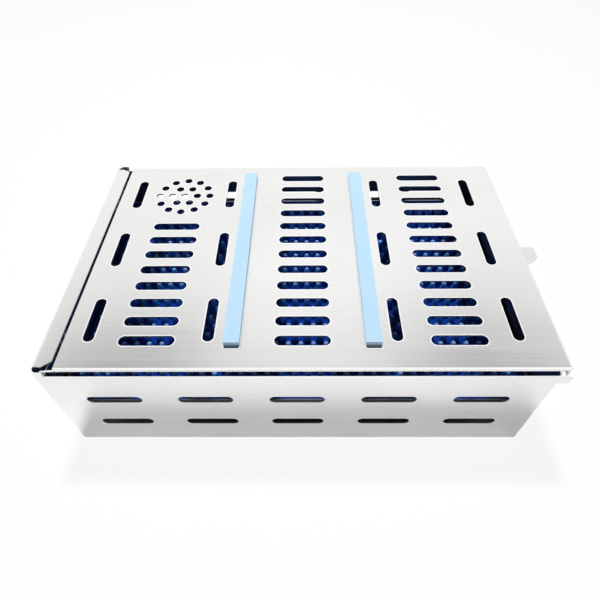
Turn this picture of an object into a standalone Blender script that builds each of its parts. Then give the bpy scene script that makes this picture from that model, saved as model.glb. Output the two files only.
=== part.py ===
"""Stainless steel instrument case: a deep perforated box with a hinged lid, a spring latch and a lift-out
tray that carries a silicone finger mat.

Metres, +Z up. X runs along the case from the hinge side to the latch side, Y from the front wall to the
back wall, and the origin is the centre of the underside. Lengths are written in millimetres times MM.
"""
import math

import bmesh
import bpy
from mathutils import Vector

MM = 0.001

# Case and sheet
CASE_LENGTH = 279.4 * MM
CASE_DEPTH = 185.0 * MM
CASE_HEIGHT = 76.2 * MM
SHEET = 1.0 * MM
FIT_GAP = 0.3 * MM
OVERRUN = 2.0 * MM
OVERLAP = 0.5 * MM
SAME_PLACE = 0.01 * MM
HINGE_SIDE_CORNER = 4.0 * MM
LATCH_SIDE_CORNER = 1.5 * MM
BOTTOM_BEND = 2.0 * MM
EDGE_BEND = 1.5 * MM

# Rim of the base: the fixed strip on the hinge side, the lowered walls and the end tabs
STRIP_WIDTH = 9.7 * MM
STRIP_END_GAP = 3.5 * MM
STRIP_CHAMFER_X = 5.0 * MM
STRIP_CHAMFER_Y = 3.5 * MM
RAISED_CORNER = 7.2 * MM
WALL_DROP = 3.8 * MM
TAB_HEIGHT = 6.2 * MM
TAB_CORNER = 2.0 * MM

# Lid
STRIP_TO_LID = 2.0 * MM
LIP_SETBACK = 1.5 * MM
LIP_DEPTH = 2.0 * MM
SKIRT_DEPTH = 7.0 * MM
SKIRT_STANDOFF = 4.5 * MM
LID_CORNER = 1.2 * MM
WINDOW_WIDTH = 9.0 * MM
WINDOW_HEIGHT = 2.0 * MM

# Perforations
SLOT_LENGTH = 30.5 * MM
SLOT_WIDTH = 6.5 * MM
LID_ROW_PITCH = 13.35 * MM
LID_ROWS = 12
LID_SHORT_ROWS = 8
LID_PATTERN_X = 1.2 * MM
LID_PATTERN_Y = 1.7 * MM
LID_COLUMN_SHIFT = 0.5 * MM
LONG_SLOT_WIDTH = 6.2 * MM
LONG_INNER_SPACING = 51.2 * MM
LONG_OUTER_INSET = 23.45 * MM
LONG_PITCH = 57.0 * MM
LONG_ROWS = 3
ROSETTE_RING_PITCH = 8.9 * MM
ROSETTE_HOLE = 5.4 * MM
ROSETTE_RINGS = 2
WALL_SLOT_PITCH = 50.6 * MM
WALL_SLOT_INSET = 15.0 * MM
END_SLOT_PITCH = 63.0 * MM
WALL_SLOT_X = -1.9 * MM
WALL_SLOT_DROP = 27.0 * MM
WALL_ROW_PITCH = 26.0 * MM
FLOOR_ROW_PITCH = 26.0 * MM
FLOOR_ROWS = 6
TRAY_ROW_PITCH = 40.0 * MM
TRAY_ROWS = 4
END_WALL_COLUMNS = 3
SLOT_END_SEGMENTS = 4

# Lid hinge
HINGE_INSET = 5.3 * MM
HINGE_DROP = 4.8 * MM
ROD_DIAMETER = 2.4 * MM
EAR_RADIUS = 2.6 * MM
EAR_ARM_DROP = 1.6 * MM
EAR_ARM_HEIGHT = 1.6 * MM
EAR_ROOT = 3.0 * MM
CLIP_WALL = 1.0 * MM
CLIP_THICKNESS = 0.8 * MM
BRACKET_INSET = 22.5 * MM
BRACKET_LENGTH = 16.0 * MM
BRACKET_HEIGHT = 15.0 * MM
BRACKET_RIVET_PITCH = 8.0 * MM

# Rivets
RIVET_DIAMETER = 2.4 * MM
RIVET_HEAD = 4.4 * MM
RIVET_HEAD_HEIGHT = 0.9 * MM
RIVET_HEAD_FLAT = 2.4 * MM
RIVET_RIM = 0.4 * MM

# Latch
LATCH_DROP = 4.8 * MM
LEVER_CLEARANCE = 0.4 * MM
LEVER_REACH = 10.4 * MM
LEVER_WIDTH = 11.8 * MM
LEVER_CORNER = 2.5 * MM
LEVER_SIDE_REACH = 8.6 * MM
LEVER_EYE = 3.0 * MM
LATCH_PIN_OUT = 2.5 * MM
LATCH_PIN_BELOW = 5.4 * MM
LATCH_PIN_DIAMETER = 2.5 * MM
LATCH_PIN_HEAD = 4.2 * MM
LATCH_PIN_HEAD_HEIGHT = 1.0 * MM
LATCH_BRACKET_WIDTH = 29.0 * MM
LATCH_BRACKET_HEIGHT = 13.0 * MM
LATCH_BRACKET_ABOVE_PIN = 4.0 * MM
LATCH_EYE = 2.9 * MM
LATCH_EAR_FOOT = 9.0 * MM
LATCH_RIVET_SPACING = 22.0 * MM
SPRING_WIRE = 0.8 * MM
SPRING_MEAN_DIAMETER = 4.7 * MM
SPRING_PITCH = 1.4 * MM
SPRING_TURNS = 4
SPRING_LEG_DROP = 6.0 * MM
SPRING_LEG_REACH = 4.3 * MM
POINTS_PER_TURN = 10

# Lift-out tray, its ledges and the mat
TRAY_DROP = 39.5 * MM
TRAY_RIM = 8.0 * MM
TRAY_CLEARANCE = 1.2 * MM
TRAY_CORNER = 3.0 * MM
LIFT_TAB_WIDTH = 36.0 * MM
LIFT_TAB_HEIGHT = 20.0 * MM
FINGER_HOLE_LENGTH = 22.0 * MM
FINGER_HOLE_WIDTH = 8.0 * MM
LEDGE_WIDTH = 10.4 * MM
LEDGE_HEIGHT = 7.0 * MM
LEDGE_END_GAP = 16.5 * MM
LEDGE_RIVET_INSET = 15.0 * MM
LEDGE_RIVETS = 3
MAT_SHEET = 2.2 * MM
MAT_CLEARANCE = 1.0 * MM
FINGER_HEIGHT = 8.3 * MM
FINGER_BASE = 4.4 * MM
FINGER_TIP_SHARE = 0.62
FINGER_COLUMNS = 22
FINGER_ROWS = 15

# Silicone rails through the lid
RAIL_SPACING = 38.0 * MM
RAIL_WIDTH = 8.8 * MM
RAIL_END_GAP = 13.4 * MM
RAIL_THICKNESS = 2.6 * MM
RAIL_NECK = 7.6 * MM
RAIL_SLOT_END_GAP = 1.8 * MM
RAIL_SLOT_CORNER = 0.8 * MM
RAIL_SETBACK = 2.4 * MM
RAIL_BAR_WIDTH = 12.0 * MM
RAIL_BAR_HEIGHT = 9.0 * MM
RAIL_NOTCH_PITCH = 12.0 * MM
RAIL_NOTCH_WIDTH = 5.0 * MM
RAIL_NOTCH_DEPTH = 4.0 * MM
RAIL_NOTCHES = 12

# Faces and axes worked out from the sizes above
LEFT = -CASE_LENGTH / 2
RIGHT = CASE_LENGTH / 2
FRONT = -CASE_DEPTH / 2
BACK = CASE_DEPTH / 2
TOP = CASE_HEIGHT
WALL_RIGHT = RIGHT - SHEET - SKIRT_STANDOFF
LID_LEFT = LEFT + STRIP_WIDTH + STRIP_TO_LID
LID_HALF_DEPTH = CASE_DEPTH / 2 - SHEET - LIP_SETBACK
LONG_OUTER_SPACING = CASE_LENGTH / 2 - LONG_OUTER_INSET
LID_COLUMN_SPACING = (LONG_INNER_SPACING + LONG_OUTER_SPACING) / 2 + LID_COLUMN_SHIFT
RAIL_LENGTH = 2 * (LID_HALF_DEPTH - RAIL_END_GAP)
WALL_SLOT_ROOM = CASE_LENGTH / 2 - abs(WALL_SLOT_X) - SLOT_LENGTH / 2 - WALL_SLOT_INSET
LONG_WALL_COLUMNS = 1 + 2 * int(WALL_SLOT_ROOM / WALL_SLOT_PITCH)
STRIP_END = CASE_DEPTH / 2 - SHEET - STRIP_END_GAP
BRACKET_STATION = CASE_DEPTH / 2 - BRACKET_INSET
LEDGE_LENGTH = CASE_DEPTH - 2 * (SHEET + LEDGE_END_GAP)
LEDGE_RIVET_PITCH = (LEDGE_LENGTH - 2 * LEDGE_RIVET_INSET) / (LEDGE_RIVETS - 1)
HINGE_X = LEFT + HINGE_INSET
HINGE_Z = TOP - HINGE_DROP
LATCH_TOP = TOP - LATCH_DROP
LATCH_PIN_X = RIGHT + LATCH_PIN_OUT
LATCH_PIN_Z = LATCH_TOP - LATCH_PIN_BELOW
LEVER_LEFT = RIGHT + LEVER_CLEARANCE
TRAY_TOP = TOP - TRAY_DROP
TRAY_BOTTOM = TRAY_TOP - SHEET
LEDGE_TOP = TRAY_BOTTOM - FIT_GAP
INNER_LEFT = LEFT + SHEET
INNER_RIGHT = WALL_RIGHT - SHEET
LEDGE_LEG_LEFT = INNER_LEFT + FIT_GAP
LEDGE_LEG_RIGHT = INNER_RIGHT - FIT_GAP
TRAY_LEFT = LEDGE_LEG_LEFT + TRAY_CLEARANCE
TRAY_RIGHT = LEDGE_LEG_RIGHT - TRAY_CLEARANCE
TRAY_HALF_DEPTH = CASE_DEPTH / 2 - SHEET - TRAY_CLEARANCE
LATCH_PLATE_X = WALL_RIGHT + FIT_GAP


# Materials

def material(name, colour, roughness, metallic):
    mat = bpy.data.materials.new(name)
    mat.use_nodes = True
    shader = mat.node_tree.nodes["Principled BSDF"]
    shader.inputs["Base Color"].default_value = (*colour, 1.0)
    shader.inputs["Roughness"].default_value = roughness
    shader.inputs["Metallic"].default_value = metallic
    mat.diffuse_color = (*colour, 1.0)
    return mat


def steel(name):
    return material(name + "_steel", (0.72, 0.72, 0.73), 0.32, 1.0)


def silicone(name, colour):
    return material(name + "_silicone", colour, 0.45, 0.0)


# Outlines, as lists of points in a plane

def arc(centre, radius, start, end, segments):
    points = []
    for step in range(segments + 1):
        angle = math.radians(start + (end - start) * step / segments)
        points.append((centre[0] + radius * math.cos(angle), centre[1] + radius * math.sin(angle)))
    return points


def circle(centre, radius, segments):
    return arc(centre, radius, 0, 360, segments)[:-1]


def slot(centre, length, width, upright=False):
    """A round-ended slot, along the plane's first direction or, upright, along its second."""
    half = (length - width) / 2
    if upright:
        far = arc((centre[0], centre[1] + half), width / 2, 0, 180, SLOT_END_SEGMENTS)
        near = arc((centre[0], centre[1] - half), width / 2, 180, 360, SLOT_END_SEGMENTS)
    else:
        far = arc((centre[0] + half, centre[1]), width / 2, -90, 90, SLOT_END_SEGMENTS)
        near = arc((centre[0] - half, centre[1]), width / 2, 90, 270, SLOT_END_SEGMENTS)
    return far + near


def rounded(low, high, low_side, high_side):
    """A rectangle whose corners at the low and the high first coordinate have radii of their own."""
    segments = 4
    points = arc((high[0] - high_side, high[1] - high_side), high_side, 0, 90, segments)
    points += arc((low[0] + low_side, high[1] - low_side), low_side, 90, 180, segments)
    points += arc((low[0] + low_side, low[1] + low_side), low_side, 180, 270, segments)
    points += arc((high[0] - high_side, low[1] + high_side), high_side, 270, 360, segments)
    return points


def rectangle(low, high):
    return [(low[0], low[1]), (high[0], low[1]), (high[0], high[1]), (low[0], high[1])]


def grid_of(columns, column_pitch, rows, row_pitch, centre=(0, 0)):
    """The centres of a regular pattern."""
    places = []
    for row in range(rows):
        for column in range(columns):
            x = centre[0] + (column - (columns - 1) / 2) * column_pitch
            y = centre[1] + (row - (rows - 1) / 2) * row_pitch
            places.append((x, y))
    return places


# Solids, as bmeshes in world coordinates

def in_space(point, level, axis):
    """A point of an outline, at a level along the axis that the outline is extruded on."""
    if axis == "X":
        return Vector((level, point[0], point[1]))
    if axis == "Y":
        return Vector((point[0], level, point[1]))
    return Vector((point[0], point[1], level))


def prisms(outlines, low, high, axis="Z"):
    """One straight solid for each outline, from low to high along the axis."""
    bm = bmesh.new()
    for outline in outlines:
        face = bm.faces.new([bm.verts.new(in_space(point, low, axis)) for point in outline])
        side = bmesh.ops.extrude_face_region(bm, geom=[face])
        moved = [item for item in side["geom"] if isinstance(item, bmesh.types.BMVert)]
        bmesh.ops.translate(bm, verts=moved, vec=in_space((0, 0), high - low, axis))
    bmesh.ops.recalc_face_normals(bm, faces=bm.faces[:])
    return bm


def boxes(corner_pairs):
    """One block for each pair of low and high corners."""
    bm = bmesh.new()
    for low, high in corner_pairs:
        made = bmesh.ops.create_cube(bm, size=1)["verts"]
        size = Vector(high) - Vector(low)
        bmesh.ops.scale(bm, verts=made, vec=size)
        bmesh.ops.translate(bm, verts=made, vec=(Vector(low) + Vector(high)) / 2)
    return bm


def turned(profile, centre, axis, segments):
    """A closed solid of revolution from (radius, height) points that start and end on the axis."""
    bm = bmesh.new()
    verts = [bm.verts.new((radius, 0, height)) for radius, height in profile]
    edges = [bm.edges.new(pair) for pair in zip(verts, verts[1:])]
    bmesh.ops.spin(bm, geom=verts + edges, cent=(0, 0, 0), axis=(0, 0, 1), angle=math.tau, steps=segments,
                   use_merge=True)
    bmesh.ops.remove_doubles(bm, verts=bm.verts[:], dist=SAME_PLACE)
    turn = Vector((0, 0, 1)).rotation_difference(Vector(axis)).to_matrix()
    bmesh.ops.rotate(bm, verts=bm.verts[:], cent=(0, 0, 0), matrix=turn)
    bmesh.ops.translate(bm, verts=bm.verts[:], vec=centre)
    bmesh.ops.recalc_face_normals(bm, faces=bm.faces[:])
    return bm


def bend_edges(bm, radius, is_bent, segments=2):
    """Rounds the edges whose two ends pass the test."""
    edges = [edge for edge in bm.edges if all(is_bent(vert.co) for vert in edge.verts)]
    bmesh.ops.bevel(bm, geom=edges, offset=radius, segments=segments, affect="EDGES", profile=0.5)
    return bm


def near(value, target):
    return abs(value - target) < SAME_PLACE


# Objects

def add_object(name, bm, mat, parent=None, smooth=True):
    """Makes the node's object, with its origin at its parent empty or at the world's."""
    origin = parent.location.copy() if parent else Vector((0, 0, 0))
    bmesh.ops.translate(bm, verts=bm.verts[:], vec=-origin)
    mesh = bpy.data.meshes.new(name)
    bm.to_mesh(mesh)
    bm.free()
    mesh.materials.append(mat)
    if smooth:
        mesh.shade_smooth()
        mesh.set_sharp_from_angle(angle=math.radians(35))
    obj = bpy.data.objects.new(name, mesh)
    bpy.context.collection.objects.link(obj)
    if parent:
        obj.parent = parent
    return obj


def add_empty(name, location):
    empty = bpy.data.objects.new(name, None)
    empty.location = location
    empty.empty_display_size = EAR_RADIUS
    bpy.context.collection.objects.link(empty)
    return empty


def boolean(target, bm, operation, label):
    """Cuts the solid out of the target, or joins it on."""
    name = target.name + "_" + label
    mesh = bpy.data.meshes.new(name)
    bm.to_mesh(mesh)
    bm.free()
    tool = bpy.data.objects.new(name, mesh)
    bpy.context.collection.objects.link(tool)
    tool.hide_render = True
    tool.display_type = "WIRE"
    modifier = target.modifiers.new(label, "BOOLEAN")
    modifier.operation = operation
    modifier.object = tool
    modifier.solver = "EXACT"


def cut(target, bm, label):
    boolean(target, bm, "DIFFERENCE", label)


def fuse(target, bm, label):
    boolean(target, bm, "UNION", label)


# Rivets

def rivet_mesh(grip):
    """A rivet along X whose shank crosses the grip, centred on it, with a head on both ends."""
    head = RIVET_HEAD / 2
    inner = grip / 2 + FIT_GAP
    rim = inner + RIVET_RIM
    outer = inner + RIVET_HEAD_HEIGHT
    flat = RIVET_HEAD_FLAT / 2
    shank = RIVET_DIAMETER / 2
    profile = [(0, outer), (flat, outer), (head, rim), (head, inner), (shank, inner)]
    mirrored = [(radius, -height) for radius, height in reversed(profile)]
    solid = turned(profile + mirrored, (0, 0, 0), (1, 0, 0), 8)
    mesh = bpy.data.meshes.new("rivet")
    solid.to_mesh(mesh)
    solid.free()
    mesh.materials.append(steel("rivet"))
    mesh.shade_smooth()
    mesh.set_sharp_from_angle(angle=math.radians(35))
    return mesh


def add_rivets(name, mesh, x, places):
    """One rivet at each (y, z) place of a wall, numbered from the front."""
    for number, (y, z) in enumerate(sorted(places), 1):
        obj = bpy.data.objects.new(name + "_" + str(number), mesh)
        obj.location = (x, y, z)
        bpy.context.collection.objects.link(obj)


def rivet_holes(places, low, high):
    """Cutters for rivets along X at (y, z) places."""
    return prisms([circle(place, RIVET_DIAMETER / 2 + FIT_GAP, 8) for place in places], low, high, "X")


BRACKET_PLATE_Z = HINGE_Z - BRACKET_HEIGHT / 2 - EAR_RADIUS
BRACKET_RIVET_Y = BRACKET_STATION - SHEET - BRACKET_LENGTH / 2
BRACKET_RIVET_OFFSETS = (-BRACKET_RIVET_PITCH / 2, BRACKET_RIVET_PITCH / 2)
LEFT_BRACKET_RIVETS = [
    (side * (BRACKET_RIVET_Y + offset), BRACKET_PLATE_Z)
    for side in (-1, 1) for offset in BRACKET_RIVET_OFFSETS]
LEDGE_RIVET_Z = LEDGE_TOP - SHEET - (LEDGE_HEIGHT - SHEET) / 2
LEDGE_RIVET_PLACES = grid_of(LEDGE_RIVETS, LEDGE_RIVET_PITCH, 1, 0, (0, LEDGE_RIVET_Z))
LATCH_PLATE_Z = LATCH_PIN_Z + LATCH_BRACKET_ABOVE_PIN - LATCH_BRACKET_HEIGHT / 2
LATCH_RIVET_PLACES = grid_of(2, LATCH_RIVET_SPACING, 1, 0, (0, LATCH_PLATE_Z))


# The base

def top_opening():
    """The outline of the case's mouth, with the notches at the two ends of the fixed strip."""
    radius = HINGE_SIDE_CORNER - SHEET
    corner_x = INNER_LEFT + radius
    wall_y = CASE_DEPTH / 2 - SHEET
    strip_edge = LEFT + STRIP_WIDTH
    chamfer_x = strip_edge - STRIP_CHAMFER_X
    chamfer_y = STRIP_END - STRIP_CHAMFER_Y
    right = INNER_RIGHT + OVERLAP
    points = [(right, -wall_y)]
    points += [(right, wall_y)]
    points += arc((corner_x, wall_y - radius), radius, 90, 180, 4)
    points += [(INNER_LEFT, STRIP_END), (chamfer_x, STRIP_END), (strip_edge, chamfer_y)]
    points += [(strip_edge, -chamfer_y), (chamfer_x, -STRIP_END), (INNER_LEFT, -STRIP_END)]
    points += arc((corner_x, radius - wall_y), radius, 180, 270, 4)
    return points


def build_base_shell():
    outline = rounded((LEFT, FRONT), (WALL_RIGHT, BACK), HINGE_SIDE_CORNER, LATCH_SIDE_CORNER)
    block = prisms([outline], 0, TOP)
    bend_edges(block, BOTTOM_BEND, lambda co: near(co.z, 0))
    bend_edges(block, EDGE_BEND, lambda co: near(co.z, TOP) and near(co.x, LEFT))
    shell = add_object("base_shell", block, steel("base"))

    hollow_outline = rounded((INNER_LEFT, FRONT + SHEET), (INNER_RIGHT, BACK - SHEET),
                             HINGE_SIDE_CORNER - SHEET, LATCH_SIDE_CORNER - SHEET)
    hollow = prisms([hollow_outline], SHEET, TOP - SHEET)
    bend_edges(hollow, BOTTOM_BEND - SHEET, lambda co: near(co.z, SHEET))
    cut(shell, hollow, "hollow")
    cut(shell, prisms([top_opening()], TOP - SHEET - OVERLAP, TOP + OVERRUN), "mouth")

    wall_top = TOP - WALL_DROP
    lowered_left = LEFT + RAISED_CORNER
    far = WALL_RIGHT + OVERRUN
    front_strip = ((lowered_left, FRONT - OVERRUN, wall_top), (far, FRONT + SHEET + OVERLAP, TOP + OVERRUN))
    back_strip = ((lowered_left, BACK - SHEET - OVERLAP, wall_top), (far, BACK + OVERRUN, TOP + OVERRUN))
    cut(shell, boxes([front_strip, back_strip]), "lowered_walls")
    rest = TOP - LIP_DEPTH - FIT_GAP
    cut(shell, boxes([((INNER_RIGHT - OVERLAP, FRONT - OVERRUN, rest), (far, BACK + OVERRUN, TOP + OVERRUN))]),
        "lid_rest")

    tab_low = wall_top - TAB_HEIGHT
    tab_left = WALL_RIGHT - HINGE_SIDE_CORNER
    tab = [(tab_left, tab_low), (RIGHT - TAB_CORNER, tab_low)]
    tab += arc((RIGHT - TAB_CORNER, tab_low + TAB_CORNER), TAB_CORNER, 270, 360, 3)[1:]
    tab += [(RIGHT, wall_top), (tab_left, wall_top)]
    fuse(shell, prisms([tab], FRONT, FRONT + SHEET, "Y"), "front_tab")
    fuse(shell, prisms([tab], BACK - SHEET, BACK, "Y"), "back_tab")

    upper_row = TOP - WALL_SLOT_DROP
    rows_z = upper_row - WALL_ROW_PITCH / 2
    long_walls = grid_of(LONG_WALL_COLUMNS, WALL_SLOT_PITCH, 2, WALL_ROW_PITCH, (WALL_SLOT_X, rows_z))
    slots = [slot(place, SLOT_LENGTH, SLOT_WIDTH) for place in long_walls]
    cut(shell, prisms(slots, FRONT - OVERRUN, BACK + OVERRUN, "Y"), "long_wall_slots")
    end_walls = grid_of(END_WALL_COLUMNS, END_SLOT_PITCH, 1, 0, (0, upper_row - WALL_ROW_PITCH))
    slots = [slot(place, SLOT_LENGTH, SLOT_WIDTH) for place in end_walls]
    cut(shell, prisms(slots, LEFT - OVERRUN, WALL_RIGHT + OVERRUN, "X"), "end_wall_slots")
    floor = grid_of(LONG_WALL_COLUMNS, WALL_SLOT_PITCH, FLOOR_ROWS, FLOOR_ROW_PITCH, (WALL_SLOT_X, 0))
    slots = [slot(place, SLOT_LENGTH, SLOT_WIDTH) for place in floor]
    cut(shell, prisms(slots, -OVERRUN, SHEET + OVERRUN), "floor_slots")
    left_holes = LEFT_BRACKET_RIVETS + LEDGE_RIVET_PLACES
    cut(shell, rivet_holes(left_holes, LEFT - OVERRUN, INNER_LEFT + OVERRUN), "left_rivet_holes")
    right_holes = LATCH_RIVET_PLACES + LEDGE_RIVET_PLACES
    cut(shell, rivet_holes(right_holes, INNER_RIGHT - OVERRUN, WALL_RIGHT + OVERRUN), "right_rivet_holes")


def eye_bracket(foot_low, foot_high, eye, radius, side):
    """An ear's outline: a round eye joined by straight edges to a foot at one first coordinate."""
    points = [foot_low]
    start = -70 if side > 0 else 180 + 70
    end = 100 if side > 0 else 80
    points += arc(eye, radius, start, end, 6)
    points.append(foot_high)
    return points


def build_hinge_bracket(name, side):
    """An angle riveted to the wall under the strip; side is -1 at the front and 1 at the back."""
    plate_x = INNER_LEFT + FIT_GAP
    low_z = BRACKET_PLATE_Z - BRACKET_HEIGHT / 2
    high_z = BRACKET_PLATE_Z + BRACKET_HEIGHT / 2
    ends = sorted((side * BRACKET_STATION, side * (BRACKET_STATION - SHEET - BRACKET_LENGTH)))
    plate = boxes([((plate_x, ends[0], low_z), (plate_x + SHEET, ends[1], high_z))])
    bracket = add_object(name, plate, steel(name))
    foot_x = plate_x + SHEET / 2
    ear = eye_bracket((foot_x, low_z + BRACKET_HEIGHT / 3), (foot_x, high_z), (HINGE_X, HINGE_Z), EAR_RADIUS, 1)
    faces = sorted((side * BRACKET_STATION, side * (BRACKET_STATION - SHEET)))
    fuse(bracket, prisms([ear], faces[0], faces[1], "Y"), "ear")
    hole = circle((HINGE_X, HINGE_Z), ROD_DIAMETER / 2 + FIT_GAP, 12)
    cut(bracket, prisms([hole], faces[0] - OVERRUN, faces[1] + OVERRUN, "Y"), "rod_hole")
    places = [place for place in LEFT_BRACKET_RIVETS if place[0] * side > 0]
    cut(bracket, rivet_holes(places, plate_x - OVERRUN, plate_x + SHEET + OVERRUN), "rivet_holes")


def build_hinge():
    build_hinge_bracket("hinge_bracket_front", -1)
    build_hinge_bracket("hinge_bracket_back", 1)
    half = CASE_DEPTH / 2 - SHEET - FIT_GAP
    rod = prisms([circle((HINGE_X, HINGE_Z), ROD_DIAMETER / 2, 12)], -half, half, "Y")
    add_object("hinge_rod", rod, steel("hinge_rod"))
    inner = ROD_DIAMETER / 2 + FIT_GAP
    for side, end in ((-1, "front"), (1, "back")):
        near_face = side * (BRACKET_STATION - SHEET - FIT_GAP)
        far_face = near_face - side * CLIP_THICKNESS
        low, high = sorted((near_face, far_face))
        name = "hinge_rod_clip_" + end
        clip = ring(inner, inner + CLIP_WALL, (HINGE_X, low, HINGE_Z), high - low)
        add_object(name, clip, steel(name))


def ring(inner, outer, base, thickness, segments=12):
    """A washer whose axis runs along +Y from its base."""
    bm = bmesh.new()
    profile = [(inner, 0), (outer, 0), (outer, thickness), (inner, thickness)]
    verts = [bm.verts.new((radius, height, 0)) for radius, height in profile]
    edges = [bm.edges.new((verts[i], verts[(i + 1) % 4])) for i in range(4)]
    bmesh.ops.spin(bm, geom=verts + edges, cent=(0, 0, 0), axis=(0, 1, 0), angle=math.tau, steps=segments,
                   use_merge=True)
    bmesh.ops.remove_doubles(bm, verts=bm.verts[:], dist=SAME_PLACE)
    bmesh.ops.translate(bm, verts=bm.verts[:], vec=base)
    bmesh.ops.recalc_face_normals(bm, faces=bm.faces[:])
    return bm


def build_ledge(name, wall_x, side):
    """An angle along an end wall; side is 1 where it stands out along +X and -1 along -X."""
    leg = sorted((wall_x + side * FIT_GAP, wall_x + side * (FIT_GAP + SHEET)))
    seat = sorted((wall_x + side * FIT_GAP, wall_x + side * (FIT_GAP + LEDGE_WIDTH)))
    half = LEDGE_LENGTH / 2
    low = LEDGE_TOP - LEDGE_HEIGHT
    upright = boxes([((leg[0], -half, low), (leg[1], half, LEDGE_TOP))])
    ledge = add_object(name, upright, steel(name))
    fuse(ledge, boxes([((seat[0], -half, LEDGE_TOP - SHEET), (seat[1], half, LEDGE_TOP))]), "seat")
    cut(ledge, rivet_holes(LEDGE_RIVET_PLACES, leg[0] - OVERRUN, leg[1] + OVERRUN), "rivet_holes")


def build_ledges():
    build_ledge("tray_ledge_left", INNER_LEFT, 1)
    build_ledge("tray_ledge_right", INNER_RIGHT, -1)


def build_rivets():
    grip = 2 * SHEET + FIT_GAP
    mesh = rivet_mesh(grip)
    add_rivets("hinge_rivet", mesh, LEFT + grip / 2, LEFT_BRACKET_RIVETS)
    add_rivets("left_ledge_rivet", mesh, LEFT + grip / 2, LEDGE_RIVET_PLACES)
    add_rivets("right_ledge_rivet", mesh, WALL_RIGHT - grip / 2, LEDGE_RIVET_PLACES)
    add_rivets("latch_rivet", mesh, INNER_RIGHT + grip / 2, LATCH_RIVET_PLACES)


def build_tray():
    outline = rounded((TRAY_LEFT, -TRAY_HALF_DEPTH), (TRAY_RIGHT, TRAY_HALF_DEPTH), TRAY_CORNER, TRAY_CORNER)
    block = prisms([outline], TRAY_BOTTOM, TRAY_TOP + TRAY_RIM)
    bend_edges(block, EDGE_BEND, lambda co: near(co.z, TRAY_BOTTOM))
    tray = add_object("insert_tray", block, steel("insert_tray"))
    inside = TRAY_CORNER - SHEET
    hollow = rounded((TRAY_LEFT + SHEET, SHEET - TRAY_HALF_DEPTH), (TRAY_RIGHT - SHEET, TRAY_HALF_DEPTH - SHEET),
                     inside, inside)
    cut(tray, prisms([hollow], TRAY_TOP, TRAY_TOP + TRAY_RIM + OVERRUN), "hollow")
    low = TRAY_TOP + TRAY_RIM / 2
    high = TRAY_TOP + LIFT_TAB_HEIGHT
    half = LIFT_TAB_WIDTH / 2
    tab = [(-half, low), (half, low), (half, high - TRAY_CORNER), (half - TRAY_CORNER, high)]
    tab += [(TRAY_CORNER - half, high), (-half, high - TRAY_CORNER)]
    fuse(tray, prisms([tab], TRAY_LEFT, TRAY_LEFT + SHEET, "X"), "left_lift_tab")
    fuse(tray, prisms([tab], TRAY_RIGHT - SHEET, TRAY_RIGHT, "X"), "right_lift_tab")
    hole_z = high - FINGER_HOLE_WIDTH / 2 - TRAY_CORNER
    hole = slot((0, hole_z), FINGER_HOLE_LENGTH, FINGER_HOLE_WIDTH)
    cut(tray, prisms([hole], TRAY_LEFT - OVERRUN, TRAY_RIGHT + OVERRUN, "X"), "finger_holes")
    places = grid_of(LONG_WALL_COLUMNS, WALL_SLOT_PITCH, TRAY_ROWS, TRAY_ROW_PITCH, (WALL_SLOT_X, 0))
    slots = [slot(place, SLOT_LENGTH, SLOT_WIDTH) for place in places]
    cut(tray, prisms(slots, TRAY_BOTTOM - OVERRUN, TRAY_TOP + OVERRUN), "floor_slots")


def build_mat():
    """A sheet whose top is a grid of cells, each drawn in and raised into one tapered finger."""
    edge = SHEET + MAT_CLEARANCE
    left = TRAY_LEFT + edge
    right = TRAY_RIGHT - edge
    half = TRAY_HALF_DEPTH - edge
    bottom = TRAY_TOP + FIT_GAP
    top = bottom + MAT_SHEET
    bm = bmesh.new()
    bmesh.ops.create_grid(bm, x_segments=FINGER_COLUMNS, y_segments=FINGER_ROWS, size=1)
    bmesh.ops.scale(bm, verts=bm.verts[:], vec=((right - left) / 2, half, 1))
    bmesh.ops.translate(bm, verts=bm.verts[:], vec=((right + left) / 2, 0, top))
    cells = bm.faces[:]
    skin = bmesh.ops.extrude_face_region(bm, geom=cells, use_keep_orig=True)
    lowered = [item for item in skin["geom"] if isinstance(item, bmesh.types.BMVert)]
    under = [item for item in skin["geom"] if isinstance(item, bmesh.types.BMFace)]
    bmesh.ops.translate(bm, verts=lowered, vec=(0, 0, -MAT_SHEET))
    bmesh.ops.dissolve_faces(bm, faces=under)
    bmesh.ops.recalc_face_normals(bm, faces=bm.faces[:])
    cells = [face for face in bm.faces if all(near(vert.co.z, top) for vert in face.verts)]
    pitch = min((right - left) / FINGER_COLUMNS, 2 * half / FINGER_ROWS)
    bmesh.ops.inset_individual(bm, faces=cells, thickness=(pitch - FINGER_BASE) / 2)
    tips = bmesh.ops.extrude_discrete_faces(bm, faces=cells)["faces"]
    for tip in tips:
        centre = tip.calc_center_median()
        for vert in tip.verts:
            vert.co = centre + (vert.co - centre) * FINGER_TIP_SHARE + Vector((0, 0, FINGER_HEIGHT))
    add_object("finger_mat", bm, silicone("finger_mat", (0.01, 0.05, 0.35)), smooth=False)


# The lid

def lid_slots():
    """The cross slots of the three columns and the long slots beside them."""
    outlines = []
    all_rows = grid_of(1, 0, LID_ROWS, LID_ROW_PITCH, (LID_PATTERN_X, LID_PATTERN_Y))
    for place in all_rows:
        outlines.append(slot(place, SLOT_LENGTH, SLOT_WIDTH))
        outlines.append(slot((place[0] + LID_COLUMN_SPACING, place[1]), SLOT_LENGTH, SLOT_WIDTH))
    for place in all_rows[:LID_SHORT_ROWS]:
        outlines.append(slot((place[0] - LID_COLUMN_SPACING, place[1]), SLOT_LENGTH, SLOT_WIDTH))
    for spacing in (LONG_INNER_SPACING, LONG_OUTER_SPACING):
        for place in grid_of(2, 2 * spacing, LONG_ROWS, LONG_PITCH, (LID_PATTERN_X, 0)):
            outlines.append(slot(place, SLOT_LENGTH, LONG_SLOT_WIDTH, upright=True))
    return outlines


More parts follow.
